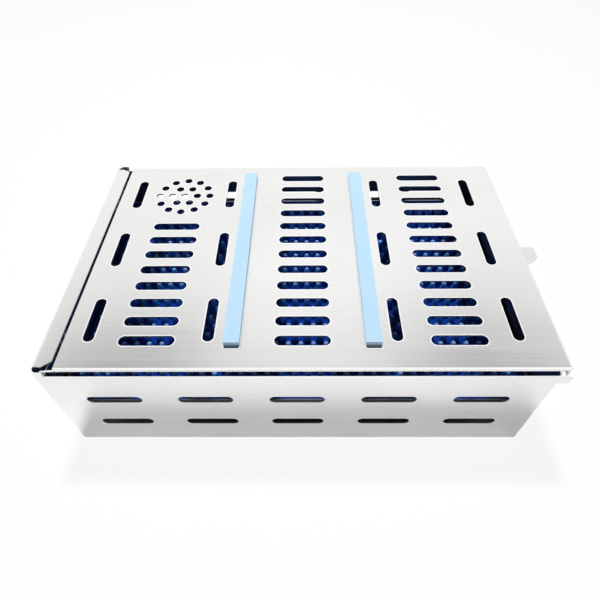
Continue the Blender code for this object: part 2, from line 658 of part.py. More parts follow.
def rosette():
    """Round holes in rings, in the middle of the rows that the short column leaves out."""
    missing_middle = (LID_ROWS + LID_SHORT_ROWS - 1) / 2 - (LID_ROWS - 1) / 2
    centre_x = LID_PATTERN_X - LID_COLUMN_SPACING
    centre_y = LID_PATTERN_Y + missing_middle * LID_ROW_PITCH
    outlines = [circle((centre_x, centre_y), ROSETTE_HOLE / 2, 8)]
    for number in range(1, ROSETTE_RINGS + 1):
        for hole in range(6 * number):
            angle = math.tau * hole / (6 * number)
            x = centre_x + number * ROSETTE_RING_PITCH * math.cos(angle)
            y = centre_y + number * ROSETTE_RING_PITCH * math.sin(angle)
            outlines.append(circle((x, y), ROSETTE_HOLE / 2, 8))
    return outlines


def ear_outline():
    """The lid's hinge ear: an eye round the rod and a low arm that joins the end of the lip."""
    arm_top = TOP - EAR_ARM_DROP
    arm_low = arm_top - EAR_ARM_HEIGHT
    root = LID_LEFT + EAR_ROOT
    points = arc((HINGE_X, HINGE_Z), EAR_RADIUS, 75, 330, 8)
    points += [(LID_LEFT, arm_low), (root, TOP - LIP_DEPTH + OVERLAP), (LID_LEFT - OVERLAP, arm_top)]
    return points


def build_lid_panel(axis):
    outline = rounded((LID_LEFT, -LID_HALF_DEPTH), (RIGHT, LID_HALF_DEPTH), LID_CORNER / 4, LID_CORNER)
    skirt_low = TOP - SKIRT_DEPTH
    block = prisms([outline], skirt_low, TOP)
    bend_edges(block, EDGE_BEND, lambda co: near(co.z, TOP) and co.x > LID_LEFT + LID_CORNER / 8)
    panel = add_object("lid_panel", block, steel("lid"), axis)
    inner = LID_HALF_DEPTH - SHEET
    skirt_x = RIGHT - SHEET
    under = ((LID_LEFT - OVERRUN, -inner, skirt_low - OVERRUN), (skirt_x, inner, TOP - SHEET))
    cut(panel, boxes([under]), "underside")
    lip_low = TOP - LIP_DEPTH
    reach = skirt_x - SHEET
    front = ((LID_LEFT - OVERRUN, -LID_HALF_DEPTH - OVERRUN, skirt_low - OVERRUN), (reach, OVERLAP - inner, lip_low))
    back = ((LID_LEFT - OVERRUN, inner - OVERLAP, skirt_low - OVERRUN), (reach, LID_HALF_DEPTH + OVERRUN, lip_low))
    cut(panel, boxes([front, back]), "short_lips")
    fuse(panel, prisms([ear_outline()], -LID_HALF_DEPTH, -inner, "Y"), "front_ear")
    fuse(panel, prisms([ear_outline()], inner, LID_HALF_DEPTH, "Y"), "back_ear")
    hole = circle((HINGE_X, HINGE_Z), ROD_DIAMETER / 2 + FIT_GAP, 12)
    cut(panel, prisms([hole], FRONT, BACK, "Y"), "rod_holes")
    cut(panel, prisms(lid_slots(), TOP - SHEET - OVERLAP, TOP + OVERRUN), "slots")
    cut(panel, prisms(rosette(), TOP - SHEET - OVERLAP, TOP + OVERRUN), "rosette")
    neck_slots = []
    wide = RAIL_NECK / 2 + FIT_GAP
    half = RAIL_LENGTH / 2 + RAIL_SLOT_END_GAP
    for side in (-1, 1):
        x = LID_PATTERN_X + side * RAIL_SPACING
        low = (x - wide, LID_PATTERN_Y - half)
        high = (x + wide, LID_PATTERN_Y + half)
        neck_slots.append(rounded(low, high, RAIL_SLOT_CORNER, RAIL_SLOT_CORNER))
    cut(panel, prisms(neck_slots, TOP - SHEET - OVERLAP, TOP + OVERRUN), "rail_slots")
    window_z = LATCH_TOP - SHEET / 2
    low = (skirt_x - OVERLAP, -WINDOW_WIDTH / 2, window_z - WINDOW_HEIGHT / 2)
    high = (RIGHT + OVERRUN, WINDOW_WIDTH / 2, window_z + WINDOW_HEIGHT / 2)
    cut(panel, boxes([(low, high)]), "latch_window")


def build_rail(name, centre_x, axis):
    """A silicone rail held in a slot of the lid: a strip on top, a neck and a notched bar below."""
    bar_top = TOP - SHEET - FIT_GAP
    bar_low = bar_top - RAIL_BAR_HEIGHT
    strip_low = TOP + FIT_GAP
    levels = (
        (RAIL_WIDTH, RAIL_LENGTH / 2, strip_low, strip_low + RAIL_THICKNESS),
        (RAIL_BAR_WIDTH, RAIL_LENGTH / 2 - RAIL_SETBACK, bar_low, bar_top),
        (RAIL_NECK, RAIL_LENGTH / 2 - RAIL_SETBACK, bar_top - OVERLAP, strip_low + OVERLAP))
    strip, bar, neck = [
        boxes([((centre_x - width / 2, LID_PATTERN_Y - half, low),
                (centre_x + width / 2, LID_PATTERN_Y + half, high))])
        for width, half, low, high in levels]
    rail = add_object(name, strip, silicone(name, (0.42, 0.75, 0.92)), axis, smooth=False)
    fuse(rail, bar, "bar")
    fuse(rail, neck, "neck")
    notches = []
    reach = RAIL_BAR_WIDTH / 2 + OVERRUN
    for x, y in grid_of(1, 0, RAIL_NOTCHES, RAIL_NOTCH_PITCH, (centre_x, LID_PATTERN_Y)):
        low = (x - reach, y - RAIL_NOTCH_WIDTH / 2, bar_low - OVERRUN)
        high = (x + reach, y + RAIL_NOTCH_WIDTH / 2, bar_low + RAIL_NOTCH_DEPTH)
        notches.append((low, high))
    cut(rail, boxes(notches), "notches")


def build_lid():
    axis = add_empty("lid_hinge_axis", (HINGE_X, 0, HINGE_Z))
    build_lid_panel(axis)
    build_rail("lid_rail_left", LID_PATTERN_X - RAIL_SPACING, axis)
    build_rail("lid_rail_right", LID_PATTERN_X + RAIL_SPACING, axis)


# The latch

def build_latch_bracket():
    low = (LATCH_PLATE_X, -LATCH_BRACKET_WIDTH / 2, LATCH_PLATE_Z - LATCH_BRACKET_HEIGHT / 2)
    high = (LATCH_PLATE_X + SHEET, LATCH_BRACKET_WIDTH / 2, LATCH_PLATE_Z + LATCH_BRACKET_HEIGHT / 2)
    bracket = add_object("latch_bracket", boxes([(low, high)]), steel("latch_bracket"))
    foot_x = LATCH_PLATE_X + SHEET / 2
    foot_high = LATCH_PIN_Z + LATCH_EYE / 2
    eye = (LATCH_PIN_X, LATCH_PIN_Z)
    ear = eye_bracket((foot_x, foot_high - LATCH_EAR_FOOT), (foot_x, foot_high), eye, LATCH_EYE, 1)
    inner = LEVER_WIDTH / 2 + LEVER_CLEARANCE
    fuse(bracket, prisms([ear], -inner - SHEET, -inner, "Y"), "front_ear")
    fuse(bracket, prisms([ear], inner, inner + SHEET, "Y"), "back_ear")
    reach = inner + SHEET + OVERRUN
    hole = circle(eye, LATCH_PIN_DIAMETER / 2 + FIT_GAP, 12)
    cut(bracket, prisms([hole], -reach, reach, "Y"), "pin_holes")
    cut(bracket, rivet_holes(LATCH_RIVET_PLACES, low[0] - OVERRUN, high[0] + OVERRUN), "rivet_holes")


def build_latch_pin():
    ear_face = LEVER_WIDTH / 2 + LEVER_CLEARANCE + SHEET
    head_face = ear_face + FIT_GAP
    shank = LATCH_PIN_DIAMETER / 2
    end = head_face + CLIP_THICKNESS + FIT_GAP
    head_end = head_face + LATCH_PIN_HEAD_HEIGHT
    profile = [(0, end), (shank, end), (shank, -head_face), (LATCH_PIN_HEAD / 2, -head_face)]
    profile += [(LATCH_PIN_HEAD / 2, -head_end), (0, -head_end)]
    pin = turned(profile, (LATCH_PIN_X, 0, LATCH_PIN_Z), (0, 1, 0), 12)
    add_object("latch_pin", pin, steel("latch_pin"))
    inner = shank + FIT_GAP
    clip = ring(inner, inner + CLIP_WALL, (LATCH_PIN_X, head_face, LATCH_PIN_Z), CLIP_THICKNESS)
    add_object("latch_pin_clip", clip, steel("latch_pin_clip"))


def build_latch_lever():
    axis = add_empty("latch_pivot_axis", (LATCH_PIN_X, 0, LATCH_PIN_Z))
    half = LEVER_WIDTH / 2
    right = LEVER_LEFT + LEVER_REACH
    plate_low = LATCH_TOP - SHEET
    outline = rounded((LEVER_LEFT, -half), (right, half), LEVER_CORNER / 10, LEVER_CORNER)
    lever = add_object("latch_lever", prisms([outline], plate_low, LATCH_TOP), steel("latch_lever"), axis)
    side_top = plate_low + SHEET / 2
    cheek = [(LEVER_LEFT, side_top), (LEVER_LEFT, LATCH_PIN_Z + LEVER_EYE * 0.8)]
    cheek += arc((LATCH_PIN_X, LATCH_PIN_Z), LEVER_EYE, 160, 330, 7)
    cheek += [(LEVER_LEFT + LEVER_SIDE_REACH, plate_low - SHEET), (LEVER_LEFT + LEVER_SIDE_REACH, side_top)]
    fuse(lever, prisms([cheek], -half, SHEET - half, "Y"), "front_cheek")
    fuse(lever, prisms([cheek], half - SHEET, half, "Y"), "back_cheek")
    hole = circle((LATCH_PIN_X, LATCH_PIN_Z), LATCH_PIN_DIAMETER / 2 + FIT_GAP, 12)
    cut(lever, prisms([hole], -half - OVERRUN, half + OVERRUN, "Y"), "pin_hole")


def tangent_angle(point, radius, side):
    """The angle on a circle round the origin from which a tangent reaches the point."""
    distance = math.hypot(point[0], point[1])
    return math.atan2(point[1], point[0]) + side * math.acos(radius / distance)


def spring_points():
    """The torsion spring's centre line: a leg on the bracket, the coil and a leg under the lever."""
    radius = SPRING_MEAN_DIAMETER / 2
    wire = SPRING_WIRE / 2
    wall_leg = (LATCH_PLATE_X + SHEET + FIT_GAP + wire - LATCH_PIN_X, -SPRING_LEG_DROP)
    lever_leg = (SPRING_LEG_REACH, LATCH_TOP - SHEET - FIT_GAP - wire - LATCH_PIN_Z)
    start = tangent_angle(wall_leg, radius, 1)
    finish = tangent_angle(lever_leg, radius, -1)
    sweep = (finish - start) % math.tau + SPRING_TURNS * math.tau
    steps = round(sweep / math.tau * POINTS_PER_TURN)
    coil_length = SPRING_PITCH * sweep / math.tau
    points = [Vector((LATCH_PIN_X + wall_leg[0], -coil_length / 2, LATCH_PIN_Z + wall_leg[1]))]
    for step in range(steps + 1):
        angle = start + sweep * step / steps
        y = coil_length * (step / steps - 0.5)
        points.append(Vector((LATCH_PIN_X + radius * math.cos(angle), y, LATCH_PIN_Z + radius * math.sin(angle))))
    points.append(Vector((LATCH_PIN_X + lever_leg[0], coil_length / 2, LATCH_PIN_Z + lever_leg[1])))
    return points


def least_gap(points, wire):
    """The smallest clear distance between two stretches that aren't neighbours along the wire."""
    apart = POINTS_PER_TURN // 2
    nearest = min((a - b).length for i, a in enumerate(points) for b in points[i + apart:])
    return nearest - wire


def build_latch_spring():
    points = spring_points()
    curve = bpy.data.curves.new("latch_spring", "CURVE")
    curve.dimensions = "3D"
    curve.bevel_depth = SPRING_WIRE / 2
    curve.bevel_resolution = 1
    curve.use_fill_caps = True
    spline = curve.splines.new("POLY")
    spline.points.add(len(points) - 1)
    for point, place in zip(spline.points, points):
        point.co = (*place, 1)
    curve.materials.append(steel("latch_spring"))
    obj = bpy.data.objects.new("latch_spring", curve)
    bpy.context.collection.objects.link(obj)
    print("latch_spring least gap to itself, mm:", round(least_gap(points, SPRING_WIRE) / MM, 2))


def build_latch():
    build_latch_bracket()
    build_latch_pin()
    build_latch_lever()
    build_latch_spring()


def main():
    for obj in list(bpy.data.objects):
        bpy.data.objects.remove(obj, do_unlink=True)
    build_base_shell()
    build_hinge()
    build_ledges()
    build_rivets()
    build_tray()
    build_mat()
    build_lid()
    build_latch()


main()
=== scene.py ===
"""Stainless steel instrument case: the finished look of its sheets, silicone and fittings.

The file is laid out as a Blender add-on and is run as a script. Metres, +Z up, X from the hinge side to the
latch side, Y from the front wall to the back wall, and the origin at the centre of the underside.
"""
import math

import bmesh
import bpy
from bpy.props import FloatProperty, FloatVectorProperty, IntProperty, PointerProperty
from mathutils import Matrix, Vector


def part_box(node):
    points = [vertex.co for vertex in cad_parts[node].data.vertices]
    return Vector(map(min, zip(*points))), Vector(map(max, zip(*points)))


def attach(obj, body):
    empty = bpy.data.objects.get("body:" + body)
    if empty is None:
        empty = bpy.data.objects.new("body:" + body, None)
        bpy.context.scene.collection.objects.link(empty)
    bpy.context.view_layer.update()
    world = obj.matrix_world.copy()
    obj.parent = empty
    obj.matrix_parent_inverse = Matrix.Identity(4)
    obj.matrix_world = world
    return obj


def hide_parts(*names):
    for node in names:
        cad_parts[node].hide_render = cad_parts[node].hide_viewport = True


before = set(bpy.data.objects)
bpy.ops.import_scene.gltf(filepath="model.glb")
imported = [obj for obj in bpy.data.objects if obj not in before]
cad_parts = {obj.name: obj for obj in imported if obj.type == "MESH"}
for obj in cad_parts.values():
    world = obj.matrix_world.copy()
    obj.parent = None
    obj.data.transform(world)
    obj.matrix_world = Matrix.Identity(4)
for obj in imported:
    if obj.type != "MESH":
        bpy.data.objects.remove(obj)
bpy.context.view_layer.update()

bl_info = {
    "name": "Instrument case",
    "version": (1, 0, 0),
    "blender": (4, 5, 0),
    "location": "3D View > Sidebar > Instrument case",
    "description": "Builds a perforated steel instrument case with a hinged lid, a tray and a finger mat",
    "category": "Add Mesh",
}

X = Vector((1, 0, 0))
Y = Vector((0, 1, 0))
Z = Vector((0, 0, 1))
WELD = 0.00001
NUDGE = 0.0001
FLAT = 0.9999
SLOT_BAND = 0.0007
HOLE_BAND = 0.0004
OPENING_SEGMENTS = 24
ROUND = (0.0, 0.0)


# Sizes and colours that a user would change

def length(name, description, default):
    return FloatProperty(name=name, description=description, default=default, min=0.0, unit="LENGTH",
                         precision=5)


def coordinate(name, description, default):
    return FloatProperty(name=name, description=description, default=default, unit="LENGTH", precision=5)


def colour(name, description, default):
    return FloatVectorProperty(name=name, description=description, default=default, min=0.0, max=1.0, size=3,
                               subtype="COLOR")


class CaseSheetSizes(bpy.types.PropertyGroup):
    """Sizes of the folded sheets"""
    sheet: length("Sheet thickness", "Thickness of every folded sheet", 0.001)
    rim: length("Rim rounding", "Width of the polished rounding on cut edges", 0.0002)
    latch_wall: length("Latch wall", "Distance of the latch-side wall from the middle", 0.1342)
    hinge_corner: length("Hinge-side corner", "Radius of the upright corners on the hinge side", 0.004)
    latch_corner: length("Latch-side corner", "Radius of the upright corners on the latch side", 0.0015)
    bend: length("Bend", "Outer radius of the folds along the bottom, the strip and the lid", 0.0015)
    wall_drop: length("Wall drop", "Distance from the case's top to the top of the long walls", 0.0038)
    rest_drop: length("Rest drop", "Distance from the case's top to the top of the latch-side wall", 0.0023)
    raised_corner: length("Raised corner", "Length of the wall's raised end beside the strip", 0.0072)
    strip_width: length("Strip width", "Width of the fixed strip over the hinge", 0.0097)
    strip_half: length("Strip half length", "Half the length of the fixed strip", 0.088)
    strip_chamfer: length("Strip chamfer", "Length of the slanted ends of the strip across it", 0.005)
    strip_taper: length("Strip taper", "Length of the slanted ends of the strip along it", 0.0035)
    tab_height: length("Tab height", "Height of the tabs beside the latch", 0.0062)
    tab_corner: length("Tab corner", "Radius of the tab's lower corner", 0.002)
    lid_left: length("Lid edge", "Distance of the lid's hinge-side edge from the middle", 0.128)
    lip_depth: length("Lip depth", "Height of the lid's folded lips", 0.002)
    tray_corner: length("Tray corner", "Radius of the tray's upright corners", 0.003)
    tray_rim: length("Tray rim", "Height of the tray's wall above its floor", 0.009)
    lift_tab: length("Lift tab", "Half the width of the tray's lift tabs", 0.018)


class CaseOpeningSizes(bpy.types.PropertyGroup):
    """Sizes and spacing of the perforations"""
    slot_length: length("Slot length", "Length of every slot", 0.0305)
    slot_width: length("Slot width", "Width of the cross slots", 0.0065)
    long_width: length("Long slot width", "Width of the slots that run front to back on the lid", 0.0062)
    pattern_x: length("Pattern centre X", "Centre of the lid's pattern along the case", 0.0012)
    pattern_y: length("Pattern centre Y", "Centre of the lid's rows across the case", 0.0017)
    row_pitch: length("Row pitch", "Distance between the lid's cross slots", 0.01335)
    rows: IntProperty(name="Rows", description="Cross slots in the full columns", default=12, min=1)
    short_rows: IntProperty(name="Short rows", description="Cross slots in the short column", default=8,
                            min=1)
    column_spacing: length("Column spacing", "Distance of the outer columns from the middle one", 0.084225)
    long_inner: length("Inner long slots", "Distance of the inner long slots from the centre", 0.0512)
    long_outer: length("Outer long slots", "Distance of the outer long slots from the centre", 0.11625)
    long_pitch: length("Long slot pitch", "Distance between the long slots of a column", 0.057)
    rosette_hole: length("Rosette hole", "Diameter of the rosette's holes", 0.0054)
    rosette_pitch: length("Rosette pitch", "Distance between the rosette's rings", 0.0089)
    wall_x: coordinate("Wall pattern X", "Centre of the wall slots along the case", -0.0019)
    wall_pitch: length("Wall slot pitch", "Distance between the slots of the long walls", 0.0506)
    wall_row_low: length("Lower wall row", "Height of the lower row of wall slots", 0.0232)
    wall_row_high: length("Upper wall row", "Height of the upper row of wall slots", 0.0492)
    end_pitch: length("End slot pitch", "Distance between the slots of the end walls", 0.063)
    floor_pitch: length("Floor row pitch", "Distance between the rows in the case's floor", 0.026)
    tray_pitch: length("Tray row pitch", "Distance between the rows in the tray's floor", 0.04)


class CaseFittingSizes(bpy.types.PropertyGroup):
    """Sizes of the hinge, the latch, the mat and the rails"""
    hinge_x: coordinate("Hinge X", "Place of the hinge's axis along the case", -0.1344)
    hinge_z: length("Hinge Z", "Height of the hinge's axis", 0.0714)
    ear_radius: length("Ear radius", "Radius of the round eyes of the lid's hinge", 0.0026)
    rod_radius: length("Rod radius", "Radius of the hinge rod", 0.0012)
    pin_x: length("Pin X", "Place of the latch pin along the case", 0.1422)
    pin_z: length("Pin Z", "Height of the latch pin", 0.066)
    pin_radius: length("Pin radius", "Radius of the latch pin", 0.00125)
    lever_eye: length("Lever eye", "Radius of the lever's eyes", 0.003)
    lever_corner: length("Lever corner", "Radius of the lever's outer corners", 0.0025)
    hole_play: length("Hole play", "Gap round each pin and rivet", 0.0003)
    rivet_radius: length("Rivet radius", "Radius of a rivet's shank", 0.0012)
    wire: length("Spring wire", "Diameter of the spring's wire", 0.0008)
    coil: length("Spring coil", "Mean diameter of the spring", 0.0047)
    coil_pitch: length("Coil pitch", "Distance between the spring's turns", 0.0014)
    finger_pitch: length("Finger pitch", "Distance between the fingers of a row", 0.00775)
    finger_rows: length("Finger rows", "Distance between the staggered rows of fingers", 0.007)
    finger_shift: length("Finger shift", "How far the finger grid stands off to the latch side", 0.0008)
    finger_base: length("Finger base", "Radius of a finger where it leaves the sheet", 0.0023)
    finger_tip: length("Finger tip", "Radius of a finger at its shoulder", 0.0018)
    mat_sheet: length("Mat sheet", "Thickness of the mat's sheet", 0.0022)
    rail_width: length("Rail width", "Width of the rail's strip on top of the lid", 0.0088)
    rail_neck: length("Rail neck", "Width of the rail where it passes the lid", 0.0076)
    rail_setback: length("Rail setback", "How far the neck and bar end behind the strip's ends", 0.0024)
    rail_slot_gap: length("Rail slot gap", "Length of open slot at each end of a rail", 0.0018)
    rail_notch: length("Rail notch", "Length of the notches under a rail", 0.005)
    rail_notch_pitch: length("Rail notch pitch", "Distance between the notches under a rail", 0.012)
    rail_notch_depth: length("Rail notch depth", "Depth of the notches under a rail", 0.004)
    rail_notches: IntProperty(name="Rail notches", description="Notches under each rail", default=12, min=1)


class CaseColours(bpy.types.PropertyGroup):
    """Colours of the finishes and of the stage"""
    lid_steel: colour("Lid steel", "Colour of the lid's sheet", (0.925, 0.925, 0.915))
    case_steel: colour("Case steel", "Colour of the box's sheet", (0.93, 0.93, 0.92))
    # The inner side's dark colour is painted shade, for the dark inside of the box and under the lid.
    shaded_inner_steel: colour("Inner steel", "Colour of the duller inner side of box and lid", (0.24, 0.24, 0.25))
    tray_steel: colour("Tray steel", "Colour of the tray's sheet", (0.50, 0.51, 0.53))
    bracket_steel: colour("Bracket steel", "Colour of brackets and ledges", (0.68, 0.68, 0.69))
    lever_steel: colour("Lever steel", "Colour of the latch lever", (0.84, 0.84, 0.84))
    rivet_steel: colour("Rivet steel", "Colour of the rivets", (0.76, 0.76, 0.77))
    pin_steel: colour("Pin steel", "Colour of rod, pin and clips", (0.72, 0.72, 0.73))
    spring_steel: colour("Spring steel", "Colour of the spring's wire", (0.60, 0.60, 0.62))
    # The cut edges' near-white colour is partly the real edge and partly a painted highlight.
    cut_edge_highlight: colour("Cut edge", "Colour of the polished cut edges", (0.985, 0.985, 0.985))
    # The mat's sheet colour is painted shade: a dark navy for the shade that falls between the fingers.
    mat_shade_blue: colour("Mat blue", "Colour of the mat's sheet", (0.002, 0.030, 0.300))
    mat_finger: colour("Mat fingers", "Colour of the mat's fingers", (0.060, 0.330, 0.920))
    # The tips' pale colour is a painted highlight on the top of every finger.
    mat_tip_highlight: colour("Mat tips", "Colour of the thin tips of the fingers", (0.450, 0.620, 0.980))
    rail_blue: colour("Rail blue", "Colour of the rails", (0.490, 0.710, 0.900))
    floor: colour("Floor", "Colour of the floor", (0.93, 0.93, 0.93))


def sheets():
    return bpy.context.scene.case_sheets


def openings():
    return bpy.context.scene.case_openings


def fittings():
    return bpy.context.scene.case_fittings


def colours():
    return bpy.context.scene.case_colours


# Finishes

class Field:
    """A number or colour that changes over a surface, for shader maths written as expressions"""

    def __init__(self, nodes, socket):
        self.nodes = nodes
        self.socket = socket

    def combine(self, operation, *values):
        return self.nodes.add("ShaderNodeMath", {"operation": operation}, dict(enumerate(values)))

    def __add__(self, other):
        return self.combine("ADD", self, other)

    __radd__ = __add__

    def __sub__(self, other):
        return self.combine("SUBTRACT", self, other)

    def __rsub__(self, other):
        return self.combine("SUBTRACT", other, self)

    def __mul__(self, other):
        return self.combine("MULTIPLY", self, other)

    __rmul__ = __mul__


class Nodes:
    """A node tree and the one method that adds nodes to it"""

    def __init__(self, tree):
        self.tree = tree

    def add(self, kind, settings=None, inputs=None, output=0):
        """Adds a node: its settings first, then the values or links of its sockets."""
        node = self.tree.nodes.new(kind)
        for key, value in (settings or {}).items():
            if key == "stops":
                ramp = node.color_ramp.elements
                ramp[0].position, ramp[1].position = value[0][0], value[-1][0]
                ramp[0].color, ramp[1].color = value[0][1], value[-1][1]
                for place, tint in value[1:-1]:
                    ramp.new(place).color = tint
            else:
                setattr(node, key, value)
        for key, value in (inputs or {}).items():
            if isinstance(value, Field):
                self.tree.links.new(value.socket, node.inputs[key])
            else:
                node.inputs[key].default_value = value
        return Field(self, node.outputs[output])


class Finish(Nodes):
    """A material, with the helpers that its patterns share"""

    def __init__(self, name):
        self.material = bpy.data.materials.new(name)
        self.material.use_nodes = True
        super().__init__(self.material.node_tree)
        self.shader = self.tree.nodes["Principled BSDF"]

    def fix(self, socket, value):
        """Sets a number or colour that is the same all over the surface."""
        self.shader.inputs[socket].default_value = value

    def drive(self, socket, field):
        self.tree.links.new(field.socket, self.shader.inputs[socket])

    def position(self):
        return self.add("ShaderNodeTexCoord", output="Object")

    def noise(self, stretch, detail=2.0, seed=0.0):
        """Noise over the piece's own place, stretched by a scale for each direction."""
        place = self.add("ShaderNodeMapping", inputs={"Vector": self.position(), "Scale": stretch,
                                                      "Location": (seed, seed, seed)})
        return self.add("ShaderNodeTexNoise", inputs={"Vector": place, "Scale": 1.0, "Detail": detail})

    def blend(self, first, second, factor):
        return self.add("ShaderNodeMix", {"data_type": "RGBA"}, {0: factor, 6: first, 7: second}, output=2)

    def bump(self, height, strength, distance):
        self.drive("Normal", self.add("ShaderNodeBump", inputs={"Height": height, "Strength": strength,
                                                                "Distance": distance}))


def shade(tint, share):
    return (*[min(1.0, part * share) for part in tint], 1.0)


def ease(nodes, field, start, end, share=1.0):
    """Rises smoothly from 0 to a share while a field goes from a start to an end."""
    return nodes.add("ShaderNodeMapRange", {"interpolation_type": "SMOOTHSTEP"},
                      {0: field, 1: start, 2: end, 3: 0.0, 4: share})


def brushed(name, tint, along, roughness, seed=0.0):
    """Sheet steel with fine lines along one axis and soft uneven patches."""
    finish = Finish(name)
    coarse = tuple(7.0 if part == along else 700.0 for part in "XYZ")
    fine = tuple(26.0 if part == along else 2600.0 for part in "XYZ")
    lines = finish.noise(coarse, 3.0, seed)
    hairs = finish.noise(fine, 2.0, seed + 3.0)
    patches = finish.noise((14.0, 22.0, 22.0), 2.0, seed + 7.0)
    mask = lines * 0.5 + hairs * 0.3 + patches * 0.9 - 0.35
    finish.drive("Base Color", finish.blend(shade(tint, 0.90), shade(tint, 1.08), mask))
    finish.drive("Roughness", lines * 0.10 + patches * 0.08 + (roughness - 0.09))
    finish.bump(lines * 0.6 + hairs * 0.4, 0.25, 0.00003)
    finish.fix("Metallic", 1.0)
    return finish.material


def turned_steel(name, tint, along, roughness):
    """Ground or drawn steel: fine rings across the part's length."""
    finish = Finish(name)
    rings = finish.noise(tuple(2200.0 if part == along else 90.0 for part in "XYZ"), 2.0)
    stains = finish.noise((130.0, 130.0, 130.0), 2.0, 5.0)
    finish.drive("Base Color", finish.blend(shade(tint, 0.88), shade(tint, 1.10), rings * 0.5 + stains * 0.5))
    finish.drive("Roughness", rings * 0.12 + stains * 0.08 + (roughness - 0.1))
    finish.bump(rings, 0.3, 0.00002)
    finish.fix("Metallic", 1.0)
    return finish.material


def cut_edge_highlight():
    """Cut and punched edges in near-white, half diffuse steel: partly the real bright cut edge, partly a
    painted highlight round every slot and rim.
    """
    finish = Finish("Cut edge")
    marks = finish.noise((900.0, 900.0, 900.0), 2.0, 2.0)
    tint = colours().cut_edge_highlight
    finish.drive("Base Color", finish.blend(shade(tint, 0.98), shade(tint, 1.02), marks))
    finish.drive("Roughness", marks * 0.08 + 0.26)
    finish.bump(marks, 0.1, 0.00001)
    finish.fix("Metallic", 0.4)
    return finish.material


def mat_silicone():
    """Blue silicone with painted light: the sheet is painted dark navy as shade between the fingers, the
    colour lightens up the fingers, and the tips carry a painted highlight.
    """
    finish = Finish("Mat silicone")
    low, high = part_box("finger_mat")
    height = finish.add("ShaderNodeSeparateXYZ", inputs={0: finish.position()}, output=2)
    # Painted shade: dark sheet colour low down, blending to the finger colour higher up each finger.
    reach = ease(finish, height, low.z + 0.0025, high.z - 0.001)
    # Painted highlight: the top of each finger goes pale.
    highlit = ease(finish, height, high.z - 0.0009, high.z, 0.8)
    cloud = finish.noise((60.0, 60.0, 60.0), 3.0)
    skin = finish.noise((1600.0, 1600.0, 1600.0), 2.0, 4.0)
    named = colours()
    sheet, finger, tip = [shade(tint, 1.0) for tint in (named.mat_shade_blue, named.mat_finger, named.mat_tip_highlight)]
    raised = finish.blend(sheet, finger, reach * 0.9 + cloud * 0.1)
    finish.drive("Base Color", finish.blend(raised, tip, highlit))
    finish.drive("Roughness", cloud * 0.14 + skin * 0.08 + 0.34)
    finish.bump(skin, 0.3, 0.00004)
    finish.fix("Specular IOR Level", 0.3)
    finish.fix("Subsurface Weight", 0.6)
    finish.fix("Subsurface Radius", (0.1, 0.5, 1.0))
    finish.fix("Subsurface Scale", 0.0025)
    return finish.material


def rail_silicone():
    """Light blue silicone with a faint mottle and a satin skin."""
    finish = Finish("Rail silicone")
    cloud = finish.noise((70.0, 25.0, 70.0), 3.0)
    skin = finish.noise((1400.0, 1400.0, 1400.0), 2.0, 4.0)
    tint = colours().rail_blue
    finish.drive("Base Color", finish.blend(shade(tint, 0.94), shade(tint, 1.04), cloud))
    finish.drive("Roughness", cloud * 0.12 + skin * 0.08 + 0.34)
    finish.bump(skin, 0.3, 0.00004)
    finish.fix("Subsurface Weight", 0.15)
    finish.fix("Subsurface Scale", 0.002)
    return finish.material


FINISHES = {}


def finish_for(slot):
    """The finish of one of the record's material slots, made once."""
    tint = colours()
    makers = {
        "lid_steel": lambda: brushed("Lid steel", tint.lid_steel, "X", 0.26),
        "case_steel": lambda: brushed("Box steel", tint.case_steel, "X", 0.30, 11.0),
        # Painted shade: the inner side is darkened to keep the inside of the case dark.
        "shaded_inner_steel": lambda: brushed("Inner steel", tint.shaded_inner_steel, "X", 0.42, 17.0),
        "tray_steel": lambda: brushed("Tray steel", tint.tray_steel, "X", 0.32, 23.0),
        "bracket_steel": lambda: brushed("Bracket steel", tint.bracket_steel, "Z", 0.36, 31.0),
        "lever_steel": lambda: brushed("Lever steel", tint.lever_steel, "X", 0.24, 41.0),
        "rivet_steel": lambda: turned_steel("Rivet steel", tint.rivet_steel, "X", 0.28),
        "pin_steel": lambda: turned_steel("Pin steel", tint.pin_steel, "Y", 0.22),
        "spring_steel": lambda: turned_steel("Spring steel", tint.spring_steel, "Y", 0.30),
        "mat_silicone": mat_silicone,
        "rail_silicone": rail_silicone,
        "cut_edge_highlight": cut_edge_highlight,
    }
    if slot not in FINISHES:
        FINISHES[slot] = makers[slot]()
    return FINISHES[slot]


# Modelling

def only(items, kind):
    return [item for item in items if isinstance(item, kind)]


def block(bm, low, high):
    """A box from its low to its high corner; its faces are worked on further."""
    made = bmesh.ops.create_cube(bm, size=1.0)["verts"]
    bmesh.ops.scale(bm, verts=made, vec=Vector(high) - Vector(low))
    bmesh.ops.translate(bm, verts=made, vec=(Vector(low) + Vector(high)) / 2)
    return made


def faces_where(bm, test):
    return [face for face in bm.faces if test(face.calc_center_median(), face.normal)]


def edges_where(bm, test):
    return [edge for edge in bm.edges if all(test(vert.co) for vert in edge.verts)]


def remove_faces(bm, test):
    bmesh.ops.delete(bm, geom=faces_where(bm, test), context="FACES")


def divide(bm, point, normal):
    """Cuts every face along a plane."""
    bmesh.ops.bisect_plane(bm, geom=bm.verts[:] + bm.edges[:] + bm.faces[:], plane_co=point, plane_no=normal)


def round_edges(bm, edges, radius, segments):
    bmesh.ops.bevel(bm, geom=edges, offset=radius, segments=segments, affect="EDGES", profile=0.5,
                    material=-1)


def round_corner(bm, vert, radius, segments=5):
    bmesh.ops.bevel(bm, geom=[vert], offset=radius, segments=segments, affect="VERTICES", profile=0.5,
                    material=-1)


